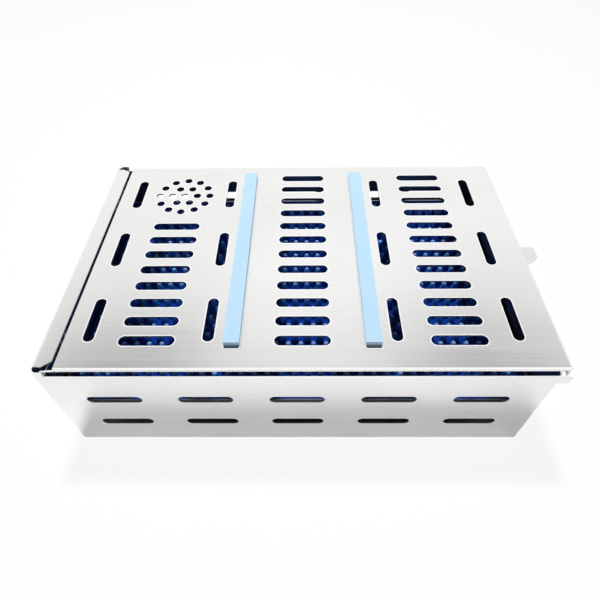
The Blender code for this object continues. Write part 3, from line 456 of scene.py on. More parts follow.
def fold(bm, edges, centre, axis, degrees, steps=6):
    """Folds a sheet on from some of its edges; returns the fold's last edges."""
    verts = list({vert for edge in edges for vert in edge.verts})
    made = bmesh.ops.spin(bm, geom=verts + edges, cent=centre, axis=axis, angle=math.radians(degrees),
                          steps=steps)
    return only(made["geom_last"], bmesh.types.BMEdge)


def extend(bm, edges, offset):
    """Extends a sheet straight on from some of its edges; returns the new far edges."""
    made = bmesh.ops.extrude_edge_only(bm, edges=edges)["geom"]
    verts = only(made, bmesh.types.BMVert)
    bmesh.ops.translate(bm, verts=verts, vec=offset)
    return [edge for edge in only(made, bmesh.types.BMEdge) if all(vert in verts for vert in edge.verts)]


def turn_to(axis):
    """The frame of a plane whose normal is an axis: its first direction, its second direction, its normal."""
    first, second = {"X": (Y, Z), "Y": (X, Z), "Z": (X, Y)}[axis]
    return Matrix((first, second, first.cross(second))).transposed()


def opening(bm, axis, centre, half, radius, band=SLOT_BAND):
    """Draws a round-cornered opening with a narrow band of faces round it, in a plane across an axis.

    half is how far the corners' centres stand from the opening's centre in the plane's two directions.
    Returns the band's outer edges, which the sheet round it is filled up to.
    """
    turn = Matrix.Rotation(math.pi / OPENING_SEGMENTS, 3, "Z").to_4x4()
    loop = bmesh.ops.create_circle(bm, cap_ends=False, radius=radius + band, segments=OPENING_SEGMENTS,
                                   matrix=turn)["verts"]
    outer = list({edge for vert in loop for edge in vert.link_edges})
    made = bmesh.ops.extrude_edge_only(bm, edges=outer)["geom"]
    inner = only(made, bmesh.types.BMVert)
    for face in only(made, bmesh.types.BMFace):
        face.material_index = 1
    bmesh.ops.scale(bm, verts=inner, vec=Vector((1, 1, 1)) * radius / (radius + band))
    for vert in loop + inner:
        vert.co += Vector((math.copysign(half[0], vert.co.x), math.copysign(half[1], vert.co.y), 0))
    bmesh.ops.rotate(bm, verts=loop + inner, cent=(0, 0, 0), matrix=turn_to(axis))
    bmesh.ops.translate(bm, verts=loop + inner, vec=centre)
    return outer


def round_hole(bm, axis, centre, radius):
    return opening(bm, axis, centre, ROUND, radius, HOLE_BAND)


def outline(bm, points):
    """The closed outline through some points of a plane, as edges."""
    verts = [bm.verts.new(point) for point in points]
    return [bm.edges.new(pair) for pair in zip(verts, verts[1:] + verts[:1])]


def fill(bm, edges, normal):
    bmesh.ops.triangle_fill(bm, use_beauty=True, use_dissolve=False, edges=edges, normal=normal)


def perforate(bm, axis, test, places):
    """Makes one flat of the faces that pass the test, and gives it openings (centre, half, radius)."""
    faces = faces_where(bm, test)
    if not faces:
        raise RuntimeError("there is no flat to perforate across " + axis)
    normal = faces[0].normal.copy()
    if len(faces) > 1:
        faces = bmesh.ops.dissolve_faces(bm, faces=faces, use_verts=False)["region"]
    rim = [edge for face in faces for edge in face.edges]
    bmesh.ops.delete(bm, geom=faces, context="FACES_ONLY")
    for centre, half, radius in places:
        rim += opening(bm, axis, centre, half, radius)
    fill(bm, rim, normal)


def arc(centre, radius, start, end, steps, level):
    """Points on an arc in the plane across Y, from a start to an end angle in degrees."""
    points = []
    for step in range(steps + 1):
        angle = math.radians(start + (end - start) * step / steps)
        x, z = centre[0] + radius * math.cos(angle), centre[1] + radius * math.sin(angle)
        points.append(Vector((x, level, z)))
    return points


def slot_half(width, upright=False):
    """The half spacing of a slot's two round ends."""
    half = (openings().slot_length - width) / 2
    return (0.0, half) if upright else (half, 0.0)


def weld(bm, distance=WELD):
    """Joins points that touch and turns all faces of a skin to one side."""
    bmesh.ops.remove_doubles(bm, verts=bm.verts[:], dist=distance)
    bmesh.ops.recalc_face_normals(bm, faces=bm.faces[:])


def middle(node):
    low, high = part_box(node)
    return (low + high) / 2


def new_object(name, data):
    obj = bpy.data.objects.new(name, data)
    bpy.context.scene.collection.objects.link(obj)
    return obj


def add_piece(name, bm, slots, body, *nodes):
    """Makes the piece's object with its finishes, and puts it in place of its nodes on its body."""
    bmesh.ops.remove_doubles(bm, verts=bm.verts[:], dist=WELD)
    mesh = bpy.data.meshes.new(name)
    bm.to_mesh(mesh)
    bm.free()
    for slot in slots:
        mesh.materials.append(finish_for(slot))
    mesh.shade_smooth()
    obj = new_object(name, mesh)
    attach(obj, body)
    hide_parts(*nodes)
    return obj


def add_modifier(obj, kind, label, **settings):
    modifier = obj.modifiers.new(label, kind)
    for key, value in settings.items():
        setattr(modifier, key, value)


def finish_edges(obj, width, segments=2, material=-1, angle=50):
    """Rounds the piece's sharp edges and keeps its flats flat to the light."""
    add_modifier(obj, "BEVEL", "Rounded edges", width=width, segments=segments, limit_method="ANGLE",
                 angle_limit=math.radians(angle), material=material, miter_outer="MITER_ARC")
    add_modifier(obj, "WEIGHTED_NORMAL", "Flat faces", weight=70, keep_sharp=True)


def add_sheet(name, bm, slot, out, body, *nodes, edge="cut_edge_highlight", inside=None):
    """Makes a folded sheet with bright cut edges, partly a painted highlight, and an inside painted dark as
    shade where one is named.

    The drawn skin is the sheet's outer side, and out is a way that its furthest face looks.
    """
    weld(bm)
    face_out(bm, out)
    slots = (slot, edge, inside) if inside else (slot, edge)
    obj = add_piece(name, bm, slots, body, *nodes)
    # Rims and rounded edges take the cut-edge finish, which is partly a painted highlight.
    add_modifier(obj, "SOLIDIFY", "Sheet thickness", thickness=sheets().sheet, offset=-1.0, use_rim=True,
                 material_offset=2 if inside else 0, material_offset_rim=1)
    finish_edges(obj, sheets().rim, 2, 1)
    return obj


def face_out(bm, probe):
    """Turns the skin inside out where the face that lies furthest along the probe looks back along it."""
    furthest = max(bm.faces, key=lambda face: face.calc_center_median().dot(probe))
    if furthest.normal.dot(probe) < 0:
        bmesh.ops.reverse_faces(bm, faces=bm.faces[:])


# The box

def wall_columns():
    hole = openings()
    return [hole.wall_x + step * hole.wall_pitch for step in range(-2, 3)]


def build_base_shell():
    size, hole = sheets(), openings()
    low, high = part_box("base_shell")
    top = high.z
    wall = size.latch_wall
    bm = bmesh.new()
    block(bm, low, (wall, high.y, top))
    remove_faces(bm, lambda at, normal: normal.z > 0.9)
    for x, radius in ((low.x, size.hinge_corner), (wall, size.latch_corner)):
        upright = [edge for edge in edges_where(bm, lambda co: abs(co.x - x) < NUDGE)
                   if abs(edge.verts[0].co.z - edge.verts[1].co.z) > size.bend]
        round_edges(bm, upright, radius, 6)
    round_edges(bm, edges_where(bm, lambda co: co.z < NUDGE), size.bend - NUDGE, 5)

    wall_top = top - size.wall_drop
    tab_low = wall_top - size.tab_height
    rest = top - size.rest_drop
    for level in (wall_top, tab_low, rest, top - size.bend):
        divide(bm, (0, 0, level), Z)
    raised = low.x + size.raised_corner
    divide(bm, (raised, 0, 0), X)
    for side in (-1, 1):
        divide(bm, (0, side * size.strip_half, 0), Y)
    corner = high.y - size.latch_corner
    remove_faces(bm, lambda at, normal: abs(normal.y) > FLAT and at.z > wall_top and at.x > raised)
    remove_faces(bm, lambda at, normal: at.x > wall - size.latch_corner and abs(at.y) > corner
                 and at.z > tab_low)
    remove_faces(bm, lambda at, normal: normal.x > FLAT and at.z > rest)
    remove_faces(bm, lambda at, normal: normal.x < -FLAT and at.z > top - size.bend
                 and abs(at.y) < size.strip_half)

    bend_z = top - size.bend
    edge = edges_where(bm, lambda co: abs(co.x - low.x) < NUDGE and abs(co.z - bend_z) < NUDGE
                       and abs(co.y) < size.strip_half + NUDGE)
    edge = fold(bm, edge, (low.x + size.bend, 0, bend_z), Y, 90)
    strip_edge = low.x + size.strip_width
    edge = extend(bm, edge, (strip_edge - size.strip_chamfer - low.x - size.bend, 0, 0))
    edge = extend(bm, edge, (size.strip_chamfer, 0, 0))
    ends = list({vert for item in edge for vert in item.verts})
    share = (size.strip_half - size.strip_taper) / size.strip_half
    bmesh.ops.scale(bm, verts=ends, vec=(1, share, 1))

    tab_root = wall - size.latch_corner
    for y in (low.y, high.y):
        edge = edges_where(bm, lambda co: abs(co.x - tab_root) < NUDGE and abs(co.y - y) < NUDGE
                           and tab_low - NUDGE < co.z < wall_top + NUDGE)
        far = extend(bm, edge, (high.x - tab_root, 0, 0))
        tip = min((vert for item in far for vert in item.verts), key=lambda vert: vert.co.z)
        round_corner(bm, tip, size.tab_corner)

    half = slot_half(hole.slot_width)
    radius = hole.slot_width / 2
    columns = wall_columns()
    rows = (hole.wall_row_low, hole.wall_row_high)
    ends = [step * hole.end_pitch for step in (-1, 0, 1)]
    for y, side in ((low.y, -1), (high.y, 1)):
        places = [((x, y, z), half, radius) for x in columns for z in rows]
        perforate(bm, "Y", lambda at, normal: normal.y * side > FLAT, places)
    for x, side, rivets in ((low.x, -1, LEFT_RIVETS), (wall, 1, RIGHT_RIVETS)):
        places = [((x, y, hole.wall_row_low), half, radius) for y in ends]
        places += [((x, y, z), ROUND, rivet_hole()) for y, z in map(rivet_place, rivets)]
        perforate(bm, "X", lambda at, normal: normal.x * side > FLAT and abs(at.x - x) < NUDGE, places)
    floor_rows = [(step - 2.5) * hole.floor_pitch for step in range(6)]
    places = [((x, y, 0), half, radius) for x in columns for y in floor_rows]
    perforate(bm, "Z", lambda at, normal: normal.z < -FLAT, places)
    return add_sheet("case_shell", bm, "case_steel", -Z, "base", "base_shell", inside="shaded_inner_steel")


LEFT_RIVETS = [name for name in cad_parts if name.startswith(("hinge_rivet", "left_ledge_rivet"))]
RIGHT_RIVETS = [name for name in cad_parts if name.startswith(("latch_rivet", "right_ledge_rivet"))]


def rivet_place(node):
    centre = middle(node)
    return centre.y, centre.z


def rivet_hole():
    return fittings().rivet_radius + fittings().hole_play


# The lid

def lid_openings(top):
    """Places of the lid's slots, rosette and rail slots as (centre, half, radius)."""
    size, fit = openings(), fittings()
    places = []
    cross = slot_half(size.slot_width)
    for row in range(size.rows):
        y = size.pattern_y + (row - (size.rows - 1) / 2) * size.row_pitch
        steps = (-1, 0, 1) if row < size.short_rows else (0, 1)
        for step in steps:
            places.append(((size.pattern_x + step * size.column_spacing, y, top), cross, size.slot_width / 2))
    upright = slot_half(size.long_width, upright=True)
    for spacing in (size.long_inner, size.long_outer):
        for side in (-1, 1):
            for row in (-1, 0, 1):
                x = size.pattern_x + side * spacing
                places.append(((x, row * size.long_pitch, top), upright, size.long_width / 2))
    centre_x = size.pattern_x - size.column_spacing
    centre_y = size.pattern_y + size.short_rows / 2 * size.row_pitch
    places.append(((centre_x, centre_y, top), ROUND, size.rosette_hole / 2))
    for ring in (1, 2):
        for step in range(6 * ring):
            angle = math.tau * step / (6 * ring)
            x = centre_x + ring * size.rosette_pitch * math.cos(angle)
            y = centre_y + ring * size.rosette_pitch * math.sin(angle)
            places.append(((x, y, top), ROUND, size.rosette_hole / 2))
    corner = 0.0008
    for node in ("lid_rail_left", "lid_rail_right"):
        low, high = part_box(node)
        centre = middle(node)
        half_x = fit.rail_neck / 2 + fit.hole_play - corner
        half_y = (high.y - low.y) / 2 + fit.rail_slot_gap - corner
        places.append(((centre.x, centre.y, top), (half_x, half_y), corner))
    return places


def build_lid():
    size, fit = sheets(), fittings()
    low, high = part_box("lid_panel")
    top = high.z
    left = -size.lid_left
    skirt_height, ear_width = 0.007, 0.003
    ear_top, neck_out, neck_drop = 0.0032, 0.0008, 0.0017
    ear_root = left + ear_width
    window_drop, window_half, window_corner = 0.0053, (0.0041, 0.0006), 0.0004
    bm = bmesh.new()
    block(bm, (left, low.y, top - skirt_height), high)
    remove_faces(bm, lambda at, normal: normal.z < -0.9 or normal.x < -0.9)
    folds = edges_where(bm, lambda co: co.z > top - NUDGE)
    folds = [edge for edge in folds if not all(abs(vert.co.x - left) < NUDGE for vert in edge.verts)]
    folds += [edge for edge in bm.edges if all(vert.co.x > high.x - NUDGE for vert in edge.verts)
              and abs(edge.verts[0].co.z - edge.verts[1].co.z) > size.bend]
    round_edges(bm, folds, size.bend, 6)
    lip_low = top - size.lip_depth
    divide(bm, (0, 0, lip_low), Z)
    remove_faces(bm, lambda at, normal: abs(normal.y) > FLAT and at.z < lip_low)
    divide(bm, (ear_root, 0, 0), X)
    perforate(bm, "Z", lambda at, normal: normal.z > FLAT, lid_openings(top))
    window = ((high.x, 0, top - window_drop), window_half, window_corner)
    perforate(bm, "X", lambda at, normal: normal.x > FLAT, [window])
    bend_z = top - size.bend
    for y in (low.y, high.y):
        points = arc((fit.hinge_x, fit.hinge_z), fit.ear_radius, 75, 330, 20, y)
        points += [Vector((x, y, z)) for x, z in (
            (left, top - ear_top), (ear_root, lip_low), (left, lip_low), (left, bend_z),
            (left - neck_out, top - neck_drop))]
        rim = outline(bm, points)
        rim += round_hole(bm, "Y", (fit.hinge_x, y, fit.hinge_z), fit.rod_radius + fit.hole_play)
        fill(bm, rim, (0, y, 0))
    return add_sheet("lid_sheet", bm, "lid_steel", Z, "lid", "lid_panel", inside="shaded_inner_steel")


def build_rail(node):
    """A silicone rail in one solid form: the strip on the lid, the neck through it and the notched bar."""
    fit = fittings()
    low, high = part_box(node)
    centre = middle(node)
    lid_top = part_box("lid_panel")[1].z
    under = lid_top - sheets().sheet - fit.hole_play
    over = lid_top + fit.hole_play
    crown = low.z + fit.rail_notch_depth
    bm = bmesh.new()
    half = fit.rail_width / 2
    neck = fit.rail_neck / 2
    bar = (high.x - low.x) / 2
    profile = [(neck, over), (-neck, over), (-neck, under), (-bar, under),
               (-bar, crown), (bar, crown), (bar, under), (neck, under)]
    start, end = low.y + fit.rail_setback, high.y - fit.rail_setback
    edges = outline(bm, [Vector((centre.x + x, start, z)) for x, z in profile])
    bmesh.ops.contextual_create(bm, geom=edges)
    made = bmesh.ops.extrude_face_region(bm, geom=bm.faces[:], use_keep_orig=True)["geom"]
    bmesh.ops.translate(bm, verts=only(made, bmesh.types.BMVert), vec=(0, end - start, 0))
    bmesh.ops.recalc_face_normals(bm, faces=bm.faces[:])
    remove_faces(bm, lambda at, normal: normal.z > 0.9 and abs(at.z - over) < NUDGE)
    joint = [edge for edge in bm.edges if edge.is_boundary]
    corners = ((-half, low.y), (half, low.y), (half, high.y), (-half, high.y))
    rim = outline(bm, [Vector((centre.x + x, y, over)) for x, y in corners])
    fill(bm, joint + rim, -Z)
    strip = extend(bm, rim, (0, 0, high.z - over))
    bmesh.ops.contextual_create(bm, geom=strip)
    notches = []
    for step in range(fit.rail_notches):
        notch_y = centre.y + (step - (fit.rail_notches - 1) / 2) * fit.rail_notch_pitch
        notches.append((notch_y - fit.rail_notch / 2, notch_y + fit.rail_notch / 2))
        for y in notches[-1]:
            divide(bm, (0, y, 0), Y)
    bmesh.ops.recalc_face_normals(bm, faces=bm.faces[:])
    teeth = faces_where(bm, lambda at, normal: normal.z < -0.9 and abs(at.z - crown) < NUDGE
                        and not any(start < at.y < end for start, end in notches))
    made = bmesh.ops.extrude_face_region(bm, geom=teeth)["geom"]
    bmesh.ops.translate(bm, verts=only(made, bmesh.types.BMVert), vec=(0, 0, low.z - crown))
    bmesh.ops.delete(bm, geom=[face for face in teeth if face.is_valid], context="FACES_ONLY")
    bmesh.ops.recalc_face_normals(bm, faces=bm.faces[:])
    obj = add_piece(node.replace("lid_rail", "silicone_rail"), bm, ("rail_silicone",), "lid", node)
    finish_edges(obj, 0.0005, 3)
    return obj


# The tray and the mat

def build_tray():
    size, hole = sheets(), openings()
    low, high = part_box("insert_tray")
    rim = low.z + size.tray_rim
    bm = bmesh.new()
    block(bm, low, (high.x, high.y, rim))
    remove_faces(bm, lambda at, normal: normal.z > 0.9)
    upright = [edge for edge in bm.edges if abs(edge.verts[0].co.z - edge.verts[1].co.z) > size.bend]
    round_edges(bm, upright, size.tray_corner, 6)
    round_edges(bm, edges_where(bm, lambda co: co.z < low.z + NUDGE), size.bend, 5)
    for side in (-1, 1):
        divide(bm, (0, side * size.lift_tab, 0), Y)
    finger_half, finger_radius, finger_z, tab_corner = (0.007, 0.0), 0.004, 0.0497, 0.003
    for x, side in ((low.x, -1), (high.x, 1)):
        edge = edges_where(bm, lambda co: abs(co.x - x) < NUDGE and co.z > rim - NUDGE
                           and abs(co.y) < size.lift_tab + NUDGE)
        far = extend(bm, edge, (0, 0, high.z - rim))
        for vert in {vert for item in far for vert in item.verts}:
            round_corner(bm, vert, tab_corner)
        place = ((x, 0, finger_z), finger_half, finger_radius)
        perforate(bm, "X", lambda at, normal: abs(normal.x) > FLAT and abs(at.x - x) < NUDGE, [place])
    rows = [(step - 1.5) * hole.tray_pitch for step in range(4)]
    half = slot_half(hole.slot_width)
    places = [((x, y, low.z), half, hole.slot_width / 2) for x in wall_columns() for y in rows]
    perforate(bm, "Z", lambda at, normal: abs(normal.z) > FLAT and at.z < low.z + NUDGE, places)
    return add_sheet("lift_out_tray", bm, "tray_steel", -Z, "base", "insert_tray", edge="tray_steel")


def finger_tile():
    """One tile of the mat: a piece of its skin raised into a tapered finger with a round tip."""
    fit = fittings()
    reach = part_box("finger_mat")[1].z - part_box("finger_mat")[0].z - fit.mat_sheet
    base, tip = fit.finger_base, fit.finger_tip
    rings = ((base, 0.06), (tip, 0.80), (tip * 0.80, 0.93), (tip * 0.38, 1.0))
    foot_share = 1.18
    tile = bmesh.new()
    across, along = fit.finger_pitch / 2, fit.finger_rows / 2
    corners = ((-across, -along), (0, -along), (across, -along),
               (across, along), (0, along), (-across, along))
    rim = outline(tile, [Vector((x, y, 0)) for x, y in corners])
    radius, height = base * foot_share, 0.0
    ring = bmesh.ops.create_circle(tile, cap_ends=False, radius=radius, segments=8)["verts"]
    ring = list({edge for vert in ring for edge in vert.link_edges})
    fill(tile, rim + ring, Z)
    for new_radius, share in rings:
        ring = extend(tile, ring, (0, 0, share * reach - height))
        verts = list({vert for edge in ring for vert in edge.verts})
        bmesh.ops.scale(tile, verts=verts, vec=(new_radius / radius, new_radius / radius, 1))
        radius, height = new_radius, share * reach
    bmesh.ops.contextual_create(tile, geom=ring)
    mesh = bpy.data.meshes.new("finger_tile")
    tile.to_mesh(mesh)
    tile.free()
    return mesh


def build_mat():
    """A sheet of staggered rows of tiles with one finger each; half a plain tile evens out each row."""
    fit = fittings()
    low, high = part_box("finger_mat")
    top = low.z + fit.mat_sheet
    pitch, step = fit.finger_pitch, fit.finger_rows
    columns = int((high.x - low.x) / pitch - 0.5)
    rows = int((high.y - low.y) / step) // 2 * 2
    centre = middle("finger_mat")
    grid_x = centre.x + fit.finger_shift
    half = ((columns + 0.5) / 2 * pitch, rows / 2 * step)
    tile = finger_tile()
    bm = bmesh.new()
    for row in range(rows):
        y = centre.y + (row + 0.5) * step - half[1]
        lead = pitch / 2 if row % 2 == 0 else 0.0
        for column in range(columns):
            count = len(bm.verts)
            bm.from_mesh(tile)
            bm.verts.ensure_lookup_table()
            x = grid_x + lead + (column + 0.5) * pitch - half[0]
            bmesh.ops.translate(bm, verts=bm.verts[count:], vec=(x, y, top))
        start = grid_x - half[0] if lead else grid_x + half[0] - pitch / 2
        spare = [Vector((start + part * pitch / 2, y + side * step / 2, top))
                 for part, side in ((0, -1), (1, -1), (1, 1), (0, 1))]
        bmesh.ops.contextual_create(bm, geom=outline(bm, spare))
    bpy.data.meshes.remove(tile)
    bmesh.ops.remove_doubles(bm, verts=[vert for vert in bm.verts if vert.co.z < top + NUDGE], dist=WELD)
    bmesh.ops.recalc_face_normals(bm, faces=bm.faces[:])
    border = extend(bm, [edge for edge in bm.edges if edge.is_boundary], (0, 0, 0))
    for vert in {vert for edge in border for vert in edge.verts}:
        if abs(abs(vert.co.x - grid_x) - half[0]) < NUDGE:
            vert.co.x = high.x if vert.co.x > grid_x else low.x
        if abs(abs(vert.co.y - centre.y) - half[1]) < NUDGE:
            vert.co.y = high.y if vert.co.y > centre.y else low.y
    border = extend(bm, border, (0, 0, -fit.mat_sheet))
    bmesh.ops.contextual_create(bm, geom=border)
    bmesh.ops.recalc_face_normals(bm, faces=bm.faces[:])
    obj = add_piece("mat_with_fingers", bm, ("mat_silicone",), "base", "finger_mat")
    obj.data.set_sharp_from_angle(angle=math.radians(50))
    return obj


# The hinge, ledges and rivets

def turned_piece(name, profile, centre, axis, slot, node, segments=28):
    """A solid turned about an axis from (radius, height) points that start and end on it, or form a ring."""
    bm = bmesh.new()
    verts = [bm.verts.new((radius, 0, height)) for radius, height in profile]
    closed = profile[0][0] > 0
    pairs = zip(verts, verts[1:] + verts[:1]) if closed else zip(verts, verts[1:])
    edges = [bm.edges.new(pair) for pair in pairs]
    bmesh.ops.spin(bm, geom=verts + edges, cent=(0, 0, 0), axis=Z, angle=math.tau, steps=segments,
                   use_merge=True)
    bmesh.ops.remove_doubles(bm, verts=bm.verts[:], dist=WELD)
    turn = Z.rotation_difference(Vector(axis)).to_matrix()
    bmesh.ops.rotate(bm, verts=bm.verts[:], cent=(0, 0, 0), matrix=turn)
    bmesh.ops.translate(bm, verts=bm.verts[:], vec=centre)
    bmesh.ops.recalc_face_normals(bm, faces=bm.faces[:])
    obj = add_piece(name, bm, (slot,), "base", node)
    obj.data.set_sharp_from_angle(angle=math.radians(40))
    return obj


def dome(radius, base, height, steps=5):
    """Points of a rivet head's domed profile, from the axis out to its rim."""
    angles = [math.pi / 2 * step / steps for step in range(steps + 1)]
    return [(radius * math.sin(angle), base + height * math.cos(angle)) for angle in angles]


def build_rivet(node):
    low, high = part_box(node)
    head_height, rim_height, head_share, under_share = 0.0009, 0.00025, 0.985, 0.97
    radius = (high.z - low.z) / 2 * head_share
    half = (high.x - low.x) / 2
    inner = half - head_height
    rim = inner + rim_height
    profile = dome(radius, rim, half - rim)
    profile += [(radius * under_share, inner), (fittings().rivet_radius, inner)]
    mirrored = [(part, -level) for part, level in reversed(profile)]
    name = node.replace("rivet", "rivet_head")
    return turned_piece(name, profile + mirrored, middle(node), X, "rivet_steel", node, 24)


def build_clip(name, node):
    """A push-on clip: a thin ring with slanted rims."""
    low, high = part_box(node)
    outer = (high.z - low.z) / 2
    half = (high.y - low.y) / 2
    ring_width, slant = 0.001, 0.0002
    inner = outer - ring_width
    profile = [(inner, -half + slant), (inner + slant, -half), (outer - slant, -half), (outer, -half + slant),
               (outer, half - slant), (outer - slant, half), (inner + slant, half), (inner, half - slant)]
    return turned_piece(name, profile, middle(node), Y, "pin_steel", node)


def build_rod():
    low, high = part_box("hinge_rod")
    half = (high.y - low.y) / 2
    radius = fittings().rod_radius
    slant = 0.0004
    profile = [(0, half), (radius - slant, half), (radius, half - slant),
               (radius, slant - half), (radius - slant, -half), (0, -half)]
    return turned_piece("hinge_axle", profile, middle("hinge_rod"), Y, "pin_steel", "hinge_rod")


def build_hinge_bracket(node, side):
    """An angle riveted to the wall under the strip, whose ear carries the rod."""
    fit = fittings()
    low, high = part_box(node)
    plate_high = fit.hinge_z - fit.ear_radius
    ear_rise, radius = 0.005, 0.0009
    ear_low = low.z + ear_rise
    out = high.y if side > 0 else low.y
    back = low.y if side > 0 else high.y
    bm = bmesh.new()
    bend_y = out - side * radius
    corners = [(back, low.z), (bend_y, low.z), (bend_y, ear_low), (bend_y, plate_high),
               (back, plate_high)]
    rim = outline(bm, [Vector((low.x, y, z)) for y, z in corners])
    for y, z in map(rivet_place, [name for name in LEFT_RIVETS if name.startswith("hinge_rivet")]):
        if y * side > 0:
            rim += round_hole(bm, "X", (low.x, y, z), rivet_hole())
    fill(bm, rim, -X)
    edge = edges_where(bm, lambda co: abs(co.y - bend_y) < NUDGE / 4 and co.z > ear_low - NUDGE)
    edge = fold(bm, edge, (low.x + radius, bend_y, 0), Z, -90 * side, 5)
    foot = low.x + radius
    points = [Vector((foot, out, plate_high)), Vector((foot, out, ear_low))]
    points += arc((fit.hinge_x, fit.hinge_z), fit.ear_radius, -70, 100, 14, out)
    rim = outline(bm, points)
    rim += round_hole(bm, "Y", (fit.hinge_x, out, fit.hinge_z), fit.rod_radius + fit.hole_play)
    fill(bm, rim, Y * side)
    return add_sheet(node.replace("bracket", "angle"), bm, "bracket_steel", Y * side, "base", node)


def build_ledge(node, side):
    """An angle along an end wall that carries the tray; side is 1 where it stands out along +X."""
    low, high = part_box(node)
    wall = low.x if side > 0 else high.x
    out = high.x if side > 0 else low.x
    radius, corner_radius = 0.0012, 0.0015
    bm = bmesh.new()
    corners = [(low.y, low.z), (high.y, low.z), (high.y, high.z - radius), (low.y, high.z - radius)]
    rim = outline(bm, [Vector((wall, y, z)) for y, z in corners])
    rivets = LEFT_RIVETS if side > 0 else RIGHT_RIVETS
    for y, z in map(rivet_place, [name for name in rivets if "ledge" in name]):
        rim += round_hole(bm, "X", (wall, y, z), rivet_hole())
    fill(bm, rim, X * -side)
    edge = edges_where(bm, lambda co: co.z > high.z - radius - NUDGE / 4)
    edge = fold(bm, edge, (wall + side * radius, 0, high.z - radius), Y, 90 * side, 5)
    far = extend(bm, edge, (out - wall - side * radius, 0, 0))
    for vert in {vert for item in far for vert in item.verts}:
        round_corner(bm, vert, corner_radius, 4)
    return add_sheet(node.replace("ledge", "carrier"), bm, "bracket_steel", Z, "base", node)


# The latch

def build_latch_bracket():
    """A plate on the latch-side wall with two welded ears for the pin."""
    fit, size = fittings(), sheets()
    low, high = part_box("latch_bracket")
    face = low.x + size.sheet
    plate_corner = 0.002
    bm = bmesh.new()
    corners = [(low.y, low.z), (high.y, low.z), (high.y, high.z), (low.y, high.z)]
    bmesh.ops.contextual_create(bm, geom=outline(bm, [Vector((face, y, z)) for y, z in corners]))
    for vert in bm.verts[:]:
        round_corner(bm, vert, plate_corner)
    rivets = [name for name in RIGHT_RIVETS if name.startswith("latch_rivet")]
    places = [((face, y, z), ROUND, rivet_hole()) for y, z in map(rivet_place, rivets)]
    perforate(bm, "X", lambda at, normal: True, places)
    add_sheet("latch_plate", bm, "bracket_steel", X, "base", "latch_bracket")

    eye = high.x - fit.pin_x
    ear_y, ear_foot, weld_gap = 0.0073, 0.009, 0.0001
    for end, side in (("front", -1), ("back", 1)):
        outer = side * ear_y
        bm = bmesh.new()
        foot = face + weld_gap
        root = fit.pin_z + eye / 2
        points = [Vector((foot, outer, root)), Vector((foot, outer, root - ear_foot))]
        points += arc((fit.pin_x, fit.pin_z), eye, -70, 100, 14, outer)
        rim = outline(bm, points)
        rim += round_hole(bm, "Y", (fit.pin_x, outer, fit.pin_z), fit.pin_radius + fit.hole_play)
        fill(bm, rim, Y * side)
        add_sheet("latch_ear_" + end, bm, "bracket_steel", Y * side, "base", "latch_bracket")


def build_latch_pin():
    fit = fittings()
    low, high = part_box("latch_pin")
    head = (high.z - low.z) / 2
    centre = (fit.pin_x, 0, fit.pin_z)
    shank = fit.pin_radius
    slant, head_height = 0.0003, 0.001
    head_face = low.y + head_height
    profile = [(0, high.y), (shank - slant, high.y), (shank, high.y - slant), (shank, head_face),
               (head - slant, head_face), (head, head_face - slant), (head, low.y + slant),
               (head - 2 * slant, low.y), (0, low.y)]
    turned_piece("latch_axle", profile, centre, Y, "pin_steel", "latch_pin")
    build_clip("latch_axle_clip", "latch_pin_clip")


def build_latch_lever():
    """The thumb lever: a plate folded down on both sides into cheeks that turn on the pin."""
    fit = fittings()
    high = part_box("latch_lever")[1]
    top = high.z
    left, cheek_width, cheek_slant, bend, back_rise = 0.1401, 0.0086, 0.002, 0.0009, 0.8
    cheek_right = left + cheek_width
    half = high.y
    bm = bmesh.new()
    corners = [(left, bend - half), (cheek_right, bend - half), (high.x, bend - half),
               (high.x, half - bend), (cheek_right, half - bend), (left, half - bend)]
    plate = outline(bm, [Vector((x, y, top)) for x, y in corners])
    bmesh.ops.contextual_create(bm, geom=plate)
    for vert in [vert for vert in bm.verts if vert.co.x > high.x - NUDGE]:
        round_corner(bm, vert, fit.lever_corner - bend, 6)
    for side in (-1, 1):
        bend_y = side * (half - bend)
        edge = edges_where(bm, lambda co: abs(co.y - bend_y) < NUDGE / 4 and co.x < cheek_right + NUDGE / 4)
        fold(bm, edge, (0, bend_y, top - bend), X, -90 * side, 5)
        y = side * half
        points = [Vector((left, y, top - bend)), Vector((left, y, fit.pin_z + fit.lever_eye * back_rise))]
        points += arc((fit.pin_x, fit.pin_z), fit.lever_eye, 160, 330, 18, y)
        points += [Vector((cheek_right, y, top - cheek_slant)), Vector((cheek_right, y, top - bend))]
        rim = outline(bm, points)
        rim += round_hole(bm, "Y", (fit.pin_x, y, fit.pin_z), fit.pin_radius + fit.hole_play)
        fill(bm, rim, Y * side)
    return add_sheet("thumb_lever", bm, "lever_steel", Z, "latch", "latch_lever")


